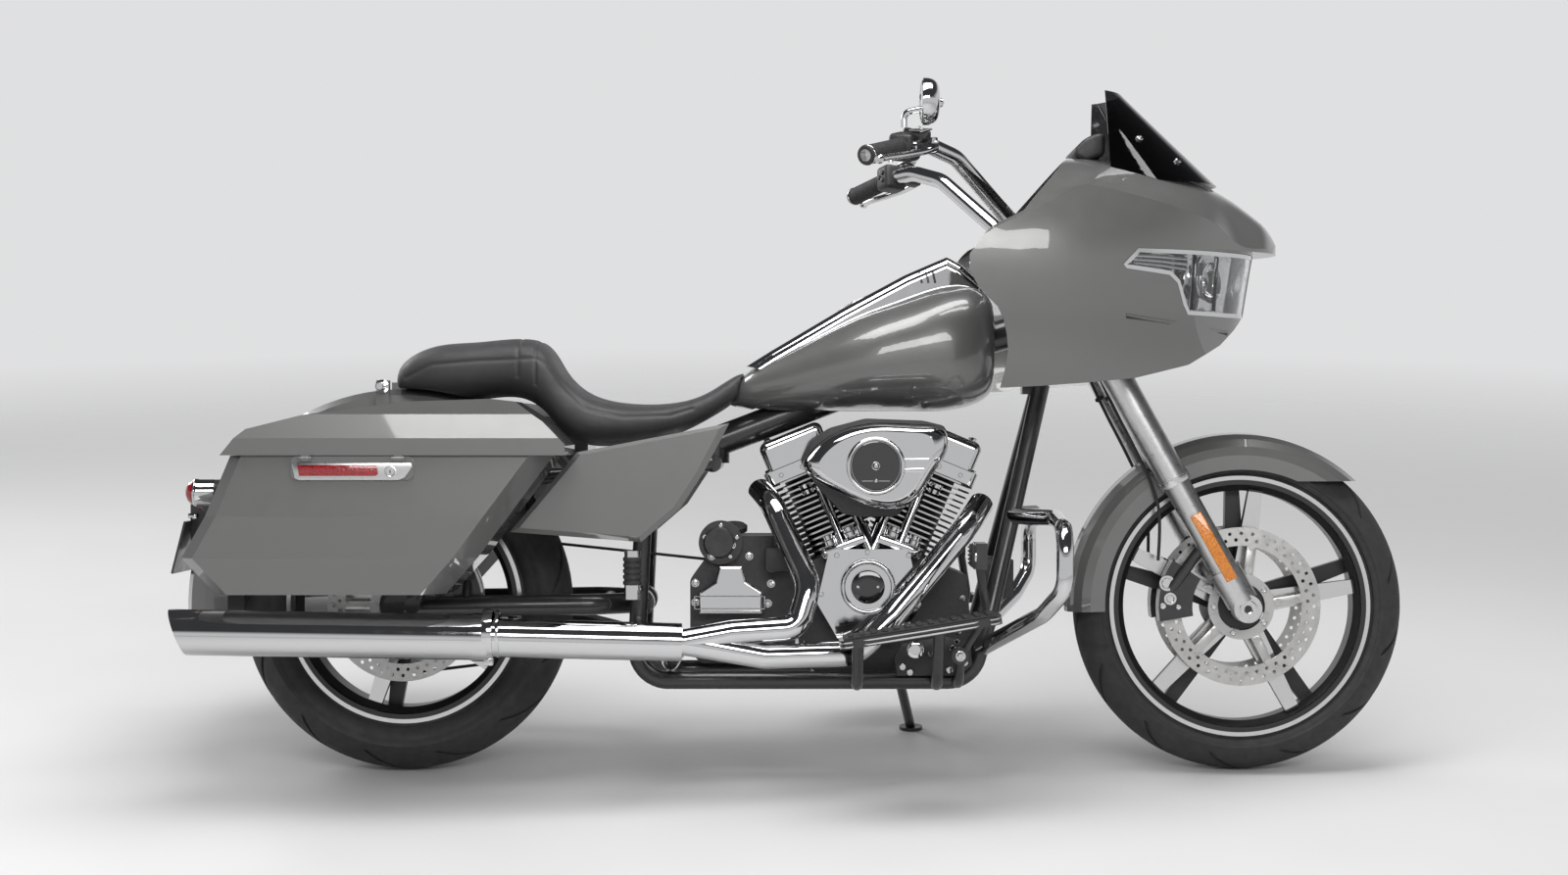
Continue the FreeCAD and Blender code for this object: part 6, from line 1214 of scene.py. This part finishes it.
def makeControls():
    for side, name in ((-1, "right"), (1, "left")):
        inner, outer = mirrored(controls["inner"], side), mirrored(controls["outer"], side)
        line = (outer - inner).normalized()
        ahead = (forward - line * forward.dot(line)).normalized()
        above = Vector((0, 0, 1)) - line * line.z
        above = (above - ahead * above.dot(ahead)).normalized()
        length = (outer - inner).length
        grip = [(11, 26), (20, 26), (20, 30), (controls["gripRadius"], 32)]
        first, last = 38, length - 14
        for index in range(controls["ribs"]):
            middle = first + (last - first) * (index + 0.5) / controls["ribs"]
            grip += [(controls["gripRadius"], middle - 2.6), (controls["ribRadius"], middle - 1.7),
                     (controls["ribRadius"], middle + 1.7), (controls["gripRadius"], middle + 2.6)]
        grip += [(controls["gripRadius"], length - 12), (18.4, length - 10), (18.4, length - 3),
                 (16.5, length), (0, length)]
        bm = bmesh.new()
        addLathe(bm, grip, inner, line, 40)
        finishPiece("grip_" + name, bm, "rubber", "steering", sharp=50, replaced=("hand_controls",))
        bm = bmesh.new()
        addTorus(bm, inner + line * (length - 6), line, 17.6, 1.6, 40)
        bar = inner + line * controls["housingLength"] * 0.4
        pivot = bar + ahead * controls["reach"]
        tip = pivot + line * controls["leverLength"] - ahead * 16
        addPipe(bm, [pivot + line * -6, pivot + line * 26 + ahead * 6, pivot + line * 90 - ahead * 2,
                     tip - line * 22 - ahead * 2, tip], 6.2, sides=4)
        addLathe(bm, [(0, 9), (6, 7.5), (9, 0), (6, -7.5), (0, -9)], tip, line, 24)
        addBolt(bm, pivot + above * 14, above, 8.5, "hex")
        addLathe(bm, [(0, -16), (15, -16), (15, 14), (13, 16), (0, 16)], bar + ahead * 18, ahead, 32)
        addBolt(bm, bar + ahead * 12 + above * 19, above, 4.0)
        finishPiece("lever_" + name, bm, "chrome", "steering")
        bm = bmesh.new()
        place = Matrix.Translation(inner) @ Matrix((line, ahead, above)).transposed().to_4x4()
        addBlock(bm, *controls["housing"], 9, 3, place)
        addBlock(bm, *controls["perch"], 5, 2, place)
        for run, rise in controls["buttons"]:
            spot = inner + line * run - ahead * 26 + above * rise
            addLathe(bm, [(0, -2), (5, -2), (5, 2.4), (4, 3.2), (0, 3.2)], spot, -ahead, 20)
        addRod(bm, bar + above * 12, bar + above * 24, 11, 9)
        finishPiece("switch_housing_" + name, bm, "plastic", "steering")
        # The fluid reservoir on the perch, with a bright lid
        bm = bmesh.new()
        addBlock(bm, *controls["reservoir"], 5, 2, place)
        finishPiece("reservoir_" + name, bm, "blackMetal", "steering")
        bm = bmesh.new()
        addBlock(bm, *controls["lid"], 1.6, 2, place)
        for run, reach in controls["lidScrews"]:
            addBolt(bm, inner + line * run + ahead * reach + above * 33.5, above, 3.2)
        finishPiece("reservoir_lid_" + name, bm, "chrome", "steering")


makeControls()

# Mirrors: the glass in its rim, and a ball joint on the stem
mirror = dict(x=1006, y=405, z=1262, width=150, height=84, depth=34)


def makeMirrorGlass():
    glass, rims = bmesh.new(), bmesh.new()
    for side in (-1, 1):
        edge = []
        for index in range(48):
            angle = math.tau * index / 48
            reach = 1 + 0.18 * math.cos(angle)
            edge.append((mirror["y"] + 0.9 * mirror["width"] / 2 * math.cos(angle),
                         mirror["z"] + 0.88 * reach * mirror["height"] / 2 * math.sin(angle)))
        x = mirror["x"] - mirror["depth"] / 2
        face = glass.faces.new([glass.verts.new((x - 0.6, side * y, z)) for y, z in edge])
        made = bmesh.ops.extrude_face_region(glass, geom=[face])
        bmesh.ops.translate(glass, vec=(1.2, 0, 0),
                            verts=[v for v in made["geom"] if isinstance(v, bmesh.types.BMVert)])
        addPipe(rims, [(x, side * y, z) for y, z in edge[::3]], 2.4, 3, True)
        addLathe(rims, [(0, 10), (7, 7), (10, 0), (7, -7), (0, -10)],
                 (mirror["x"] + 14, side * (mirror["y"] - 6), mirror["z"]), (1, 0, 0), 24)
    outwards(glass)
    finishPiece("mirror_glass", glass, "mirror", "steering")
    finishPiece("mirror_rims", rims, "chrome", "steering")


makeMirrorGlass()
print("hand controls and mirrors made")

# Fork: dust seals, reflector strips, hollow axle ends with black discs as painted shade in their bores,
# caliper screws and the brake pipes

fork = dict(angle=29.25, legY=125, sealRise=283, sealRadius=31.2, axleY=152, reflectorRise=(64, 208),
            reflectorY=155.8, reflectorWidth=23)


def onLeg(rise, side, outward=0.0, ahead=0.0):
    angle = math.radians(fork["angle"])
    up = Vector((-math.sin(angle), 0, math.cos(angle)))
    front = Vector((math.cos(angle), 0, math.sin(angle)))
    return frontAxle + up * rise + front * ahead + Vector((0, side * (fork["legY"] + outward), 0)), up


def makeForkTrim():
    bm = bmesh.new()
    for side in (-1, 1):
        place, up = onLeg(fork["sealRise"], side)
        addLathe(bm, [(26.4, -9), (fork["sealRadius"] - 1, -9), (fork["sealRadius"], -7),
                      (fork["sealRadius"], 4), (29.8, 6), (26.4, 6), (26.4, -9)], place, up, 48)
        hub = Vector((frontAxle.x, side * fork["axleY"], frontAxle.z))
        addLathe(bm, [(7.2, -2), (17, -2), (17, 1.5), (15.4, 2.8), (9, 2.8), (7.2, 1.4), (7.2, -2)], hub,
                 (0, side, 0), 40)
        for rise, ahead in ((22, -17), (22, 17)):
            spot, up = onLeg(rise, side, 8, ahead)
            addBolt(bm, spot + up * 6, up, 5.2)
    finishPiece("fork_rings", bm, "machined", "steering")
    # Black discs sunk in the axle-end rings: painted shade of the hollow bores
    bm = bmesh.new()
    for side in (-1, 1):
        hub = Vector((frontAxle.x, side * (fork["axleY"] + 1.6), frontAxle.z))
        addLathe(bm, [(0, -3), (7.0, -3), (7.0, -1), (0, -1)], hub, (0, side, 0), 24)
    finishPiece("axle_bore_shade", bm, "blackMetal", "steering")
    bm = bmesh.new()
    low, high = fork["reflectorRise"]
    for side in (-1, 1):
        place = pitched(frontAxle + Vector((0, side * fork["reflectorY"], 0)), -math.radians(fork["angle"]))
        half = fork["reflectorWidth"] / 2
        addBlock(bm, (-half, -3, low), (half, 3, high), 2, place=place)
    finishPiece("fork_reflector_strips", bm, "amber", "steering", replaced=("fork_reflectors",))


makeForkTrim()

caliperBolts = [(1470, 324, 6.2), (1500, 322, 5.2)]
caliperCaps = [(1478, 368, 15), (1484, 338, 12)]
brakePipes = dict(route=((600, -18), (480, -30), (360, -33), (270, -40), (216, -62)), end=(1462, 78, 412),
                  radius=3.2, clips=(480, 320))


def makeCaliperTrim():
    bm = bmesh.new()
    for side in (-1, 1):
        for x, z, radius in caliperBolts:
            boltOn(bm, "front_calipers", x, z, side, radius)
        for x, z, radius in caliperCaps:
            place, normal = onNode("front_calipers", x, z, side)
            if place is not None:
                addLathe(bm, [(0, 0.8), (radius - 6, 0.8), (radius - 4, 2.8), (radius, 2.8), (radius + 1, 0),
                              (0, 0)], place, (0, side, 0), 32)
    finishPiece("caliper_caps", bm, "machined", "steering")
    bm = bmesh.new()
    for side in (-1, 1):
        line = [onLeg(rise, side, -34, ahead)[0] for rise, ahead in brakePipes["route"]]
        line.append(mirrored(brakePipes["end"], side))
        addPipe(bm, line, brakePipes["radius"])
        for rise in brakePipes["clips"]:
            addRod(bm, onLeg(rise, side, -38, -33)[0], onLeg(rise, side, -22, -22)[0], 4.6, segments=12)
    finishPiece("brake_pipes", bm, "rubber", "steering")


makeCaliperTrim()
print("fork dressed")

# Wheels: a ring of bolts on each side of the hub
wheelTrim = {
    "front_wheel": dict(centre=frontAxle, reach=68, bolts=5, circle=54),
    "rear_wheel": dict(centre=rearAxle, reach=76, bolts=5, circle=54),
}


def makeWheelTrim():
    for body, shape in wheelTrim.items():
        bm = bmesh.new()
        for side in (-1, 1):
            for x, z in circlePoints(shape["circle"], shape["bolts"], math.pi / shape["bolts"]):
                spot = shape["centre"] + Vector((x, side * (shape["reach"] - 1), z))
                addBolt(bm, spot, (0, side, 0), 5.6)
        finishPiece(body + "_bolts", bm, "chrome", body)


makeWheelTrim()

# Foot controls: ribbed rubber mats in bright rims, pedal rubbers, and rubber rings on the folded pegs

board = dict(rear=(838, 278), length=300, innerY=302, width=128, tilt=9.2, ribs=13)


def onBoard(run, y, rise):
    angle = math.radians(board["tilt"])
    x, z = board["rear"]
    return Vector((x + run * math.cos(angle) - rise * math.sin(angle), y,
                   z + run * math.sin(angle) + rise * math.cos(angle)))


def makeBoards():
    mats, rims = bmesh.new(), bmesh.new()
    x, z = board["rear"]
    lay = pitched((x, 0, z), -math.radians(board["tilt"]))
    for side in (-1, 1):
        outer = board["innerY"] + board["width"]
        low, high = sorted((side * (board["innerY"] + 8), side * (outer - 8)))
        addBlock(mats, (8, low, -1), (board["length"] - 8, high, 4), 1.5, place=lay)
        for index in range(board["ribs"]):
            run = 22 + (board["length"] - 44) * index / (board["ribs"] - 1)
            addBlock(mats, (run - 5, low + 8, 3.5), (run + 5, high - 8, 7.5), 1.4, place=lay)
        edge = [(2, board["innerY"] + 3), (2, outer - 30), (10, outer - 10), (30, outer - 2),
                (board["length"] - 30, outer - 2), (board["length"] - 10, outer - 10),
                (board["length"] - 2, outer - 30), (board["length"] - 2, board["innerY"] + 3)]
        for drop in (-4, -12):
            addPipe(rims, [onBoard(run, side * y, drop) for run, y in edge], 3.6)
    finishPiece("footboard_mats", mats, "rubber")
    finishPiece("footboard_rims", rims, "chrome")


makeBoards()

pedal = dict(x=1099, y=276, z=431, depth=24, width=92, ribs=5, ribStep=7.5, pivot=(1066, 292, 242))
pegs = dict(place=(453, 270, 362), firstRib=16, ribs=5, ribStep=11)


def makePedalPads():
    bm, rims = bmesh.new(), bmesh.new()
    rear = pedal["x"] - pedal["depth"] / 2
    for side in (-1, 1):
        low, high = sorted((side * (pedal["y"] + 3), side * (pedal["y"] + pedal["width"] - 3)))
        addBlock(bm, (rear - 4, low, pedal["z"] - 21), (rear + 2, high, pedal["z"] + 21), 2)
        for index in range(pedal["ribs"]):
            z = pedal["z"] + pedal["ribStep"] * (index - (pedal["ribs"] - 1) / 2)
            addBlock(bm, (rear - 7, low + 5, z - 1.8), (rear - 3, high - 5, z + 1.8), 1)
        edge = [(low - 2, pedal["z"] - 23), (high + 2, pedal["z"] - 23), (high + 2, pedal["z"] + 23),
                (low - 2, pedal["z"] + 23)]
        addPipe(rims, [(rear + 3, y, z) for y, z in edge], 2.6, 3, True)
        addBolt(rims, mirrored(pedal["pivot"], side), (0, side, 0), 9, "hex")
    finishPiece("pedal_rubbers", bm, "rubber")
    finishPiece("pedal_rims", rims, "chrome")
    bm = bmesh.new()
    for side in (-1, 1):
        profile = []
        for index in range(pegs["ribs"]):
            z = pegs["firstRib"] + pegs["ribStep"] * index
            profile += [(15.2, z - 4), (17.4, z - 3), (17.4, z + 3), (15.2, z + 4)]
        addLathe(bm, [(14, 10)] + profile + [(14, 66), (14, 10)], mirrored(pegs["place"], side), (0, 0, 1),
                 32)
    finishPiece("peg_rubbers", bm, "rubber")


makePedalPads()
print("foot controls dressed")

# Tank: rings and a lock on the fuel door, its key slot a black bar of painted shade, and black bars of
# painted shade for the vents on the console
tankTrim = dict(ringRadii=(33.5, 21.0), lockRadius=8.0, vents=(1000, 1013, 1026), ventHigh=972, ventLow=950)


def makeTankTrim():
    mesh = cadNodes["fuel_door"].data
    faces = [face for face in mesh.polygons if face.normal.z > 0.6]
    area = sum(face.area for face in faces)
    normal = sum((face.normal * face.area for face in faces), Vector()).normalized()
    centre = sum((face.center * face.area for face in faces), Vector()) / area
    centre = bikeFrameBack @ centre
    normal = (bikeFrameBack.to_3x3() @ normal).normalized()
    back = Vector((-1, 0, 0))
    back = (back - normal * back.dot(normal)).normalized()
    centre = Vector((centre.x, 0, centre.z)) + back * 1.5
    bm = bmesh.new()
    for radius in tankTrim["ringRadii"]:
        addTorus(bm, centre + normal * 0.4, normal, radius, 1.3, 56)
    addLathe(bm, [(0, 0), (tankTrim["lockRadius"] + 2, 0), (tankTrim["lockRadius"], 3), (0, 3.4)], centre,
             normal, 32)
    finishPiece("fuel_door_rings", bm, "machined", "fuel_door")
    # A black bar on the lock face: painted shade of the key slot
    bm = bmesh.new()
    spot = centre + normal * 3.6
    addRod(bm, spot - back * 3, spot + back * 3, 0.9, segments=8)
    finishPiece("fuel_door_keyhole_shade", bm, "blackMetal", "fuel_door")
    # Three black bars on each side of the console's crest: painted shade of the vent slots
    bm = bmesh.new()
    for side in (-1, 1):
        for x in tankTrim["vents"]:
            start = onNode("tank_console", x, tankTrim["ventHigh"], side)[0]
            end = onNode("tank_console", x + 5, tankTrim["ventLow"], side)[0]
            if start is not None and end is not None:
                addRod(bm, start, end, 2.2, segments=12)
    finishPiece("console_vent_shade", bm, "blackMetal")


makeTankTrim()
print("tank dressed")


# Studio: a pale floor that fades into the pale backdrop, soft lamps, and the camera of the side view

studio = dict(floorSize=16.0, floorTone=0.60, fadeFrom=2.6, fadeTo=7.5, cameraX=737.0, cameraY=-5700.0,
              cameraZ=650.0, lens=66.6, backdrop=(0.15, 0.74, 0.745, 0.75),
              overhead=(0.36, 0.05, 0.052, 0.055), light=0.62)


def makeFloor():
    bm = bmesh.new()
    bmesh.ops.create_grid(bm, x_segments=1, y_segments=1, size=studio["floorSize"])
    mesh = bpy.data.meshes.new("studio_floor")
    bm.to_mesh(mesh)
    bm.free()
    floor = newObject("studio_floor", mesh)
    tone = studio["floorTone"]
    material = newMaterial("studioFloor", (tone, tone, tone), 0.5)
    mottled(material, 0.45, 0.55, 4)
    distance = addNode(material, "ShaderNodeVectorMath", {0: patternPoint(material)},
                       operation="LENGTH").outputs["Value"]
    plug(material, "Alpha", spread(material, distance, 1.0, 0.0, studio["fadeFrom"], studio["fadeTo"]))
    mesh.materials.append(material)


def makeLamp(name, place, aim, size, power):
    data = bpy.data.lights.new(name, "AREA")
    data.shape = "RECTANGLE"
    data.size, data.size_y = size
    data.energy = power
    lamp = newObject(name, data)
    lamp.location = place
    lamp.rotation_euler = (Vector(aim) - Vector(place)).to_track_quat("-Z", "Y").to_euler()


def makeCamera():
    data = bpy.data.cameras.new("camera")
    data.lens = studio["lens"]
    data.sensor_width = 36.0
    data.clip_end = 100
    camera = newObject("camera", data)
    place = bikeFrame @ Vector((studio["cameraX"], studio["cameraY"], studio["cameraZ"]))
    facing = Matrix((forward, upward, -leftward)).transposed().to_4x4()
    camera.matrix_world = Matrix.Translation(place) @ facing
    bpy.context.scene.camera = camera


# The backdrop is pale near the horizon and dark overhead, so that chrome has contrast. Each of
# the two tones stands after the height at which it starts.
def makeWorld():
    world = bpy.data.worlds.new("studioSky")
    bpy.context.scene.world = world
    world.use_nodes = True
    light = world.node_tree.nodes["Background"]
    light.inputs["Color"].default_value = (studio["light"],) * 3 + (1,)
    view = addNode(world, "ShaderNodeTexCoord").outputs["Generated"]
    height = addNode(world, "ShaderNodeSeparateXYZ", {0: view}).outputs["Z"]
    ramp = addNode(world, "ShaderNodeValToRGB", {0: height})
    for element, tone in zip(ramp.color_ramp.elements, ("backdrop", "overhead")):
        element.position, *colour = studio[tone]
        element.color = (*colour, 1)
    seen = addNode(world, "ShaderNodeBackground", {"Color": ramp.outputs[0]})
    rays = addNode(world, "ShaderNodeLightPath").outputs
    direct = sums(world, "MAXIMUM", rays["Is Camera Ray"], rays["Is Glossy Ray"])
    allSeen = sums(world, "MAXIMUM", direct, rays["Is Transmission Ray"])
    mix = addNode(world, "ShaderNodeMixShader", {0: allSeen, 1: light.outputs[0], 2: seen.outputs[0]})
    world.node_tree.links.new(mix.outputs[0], world.node_tree.nodes["World Output"].inputs["Surface"])


makeFloor()
makeLamp("topSoftbox", (0.2, -0.4, 3.4), (0, 0, 0.5), (3.4, 1.4), 110)
makeLamp("sideSoftbox", (0.6, -4.2, 2.6), (0, 0, 0.6), (3.2, 1.0), 80)
makeLamp("rearSoftbox", (-3.2, 2.6, 2.4), (0, 0, 0.7), (1.6, 1.6), 60)
makeCamera()
makeWorld()
bpy.context.scene.view_settings.view_transform = "Standard"
print("studio ready")
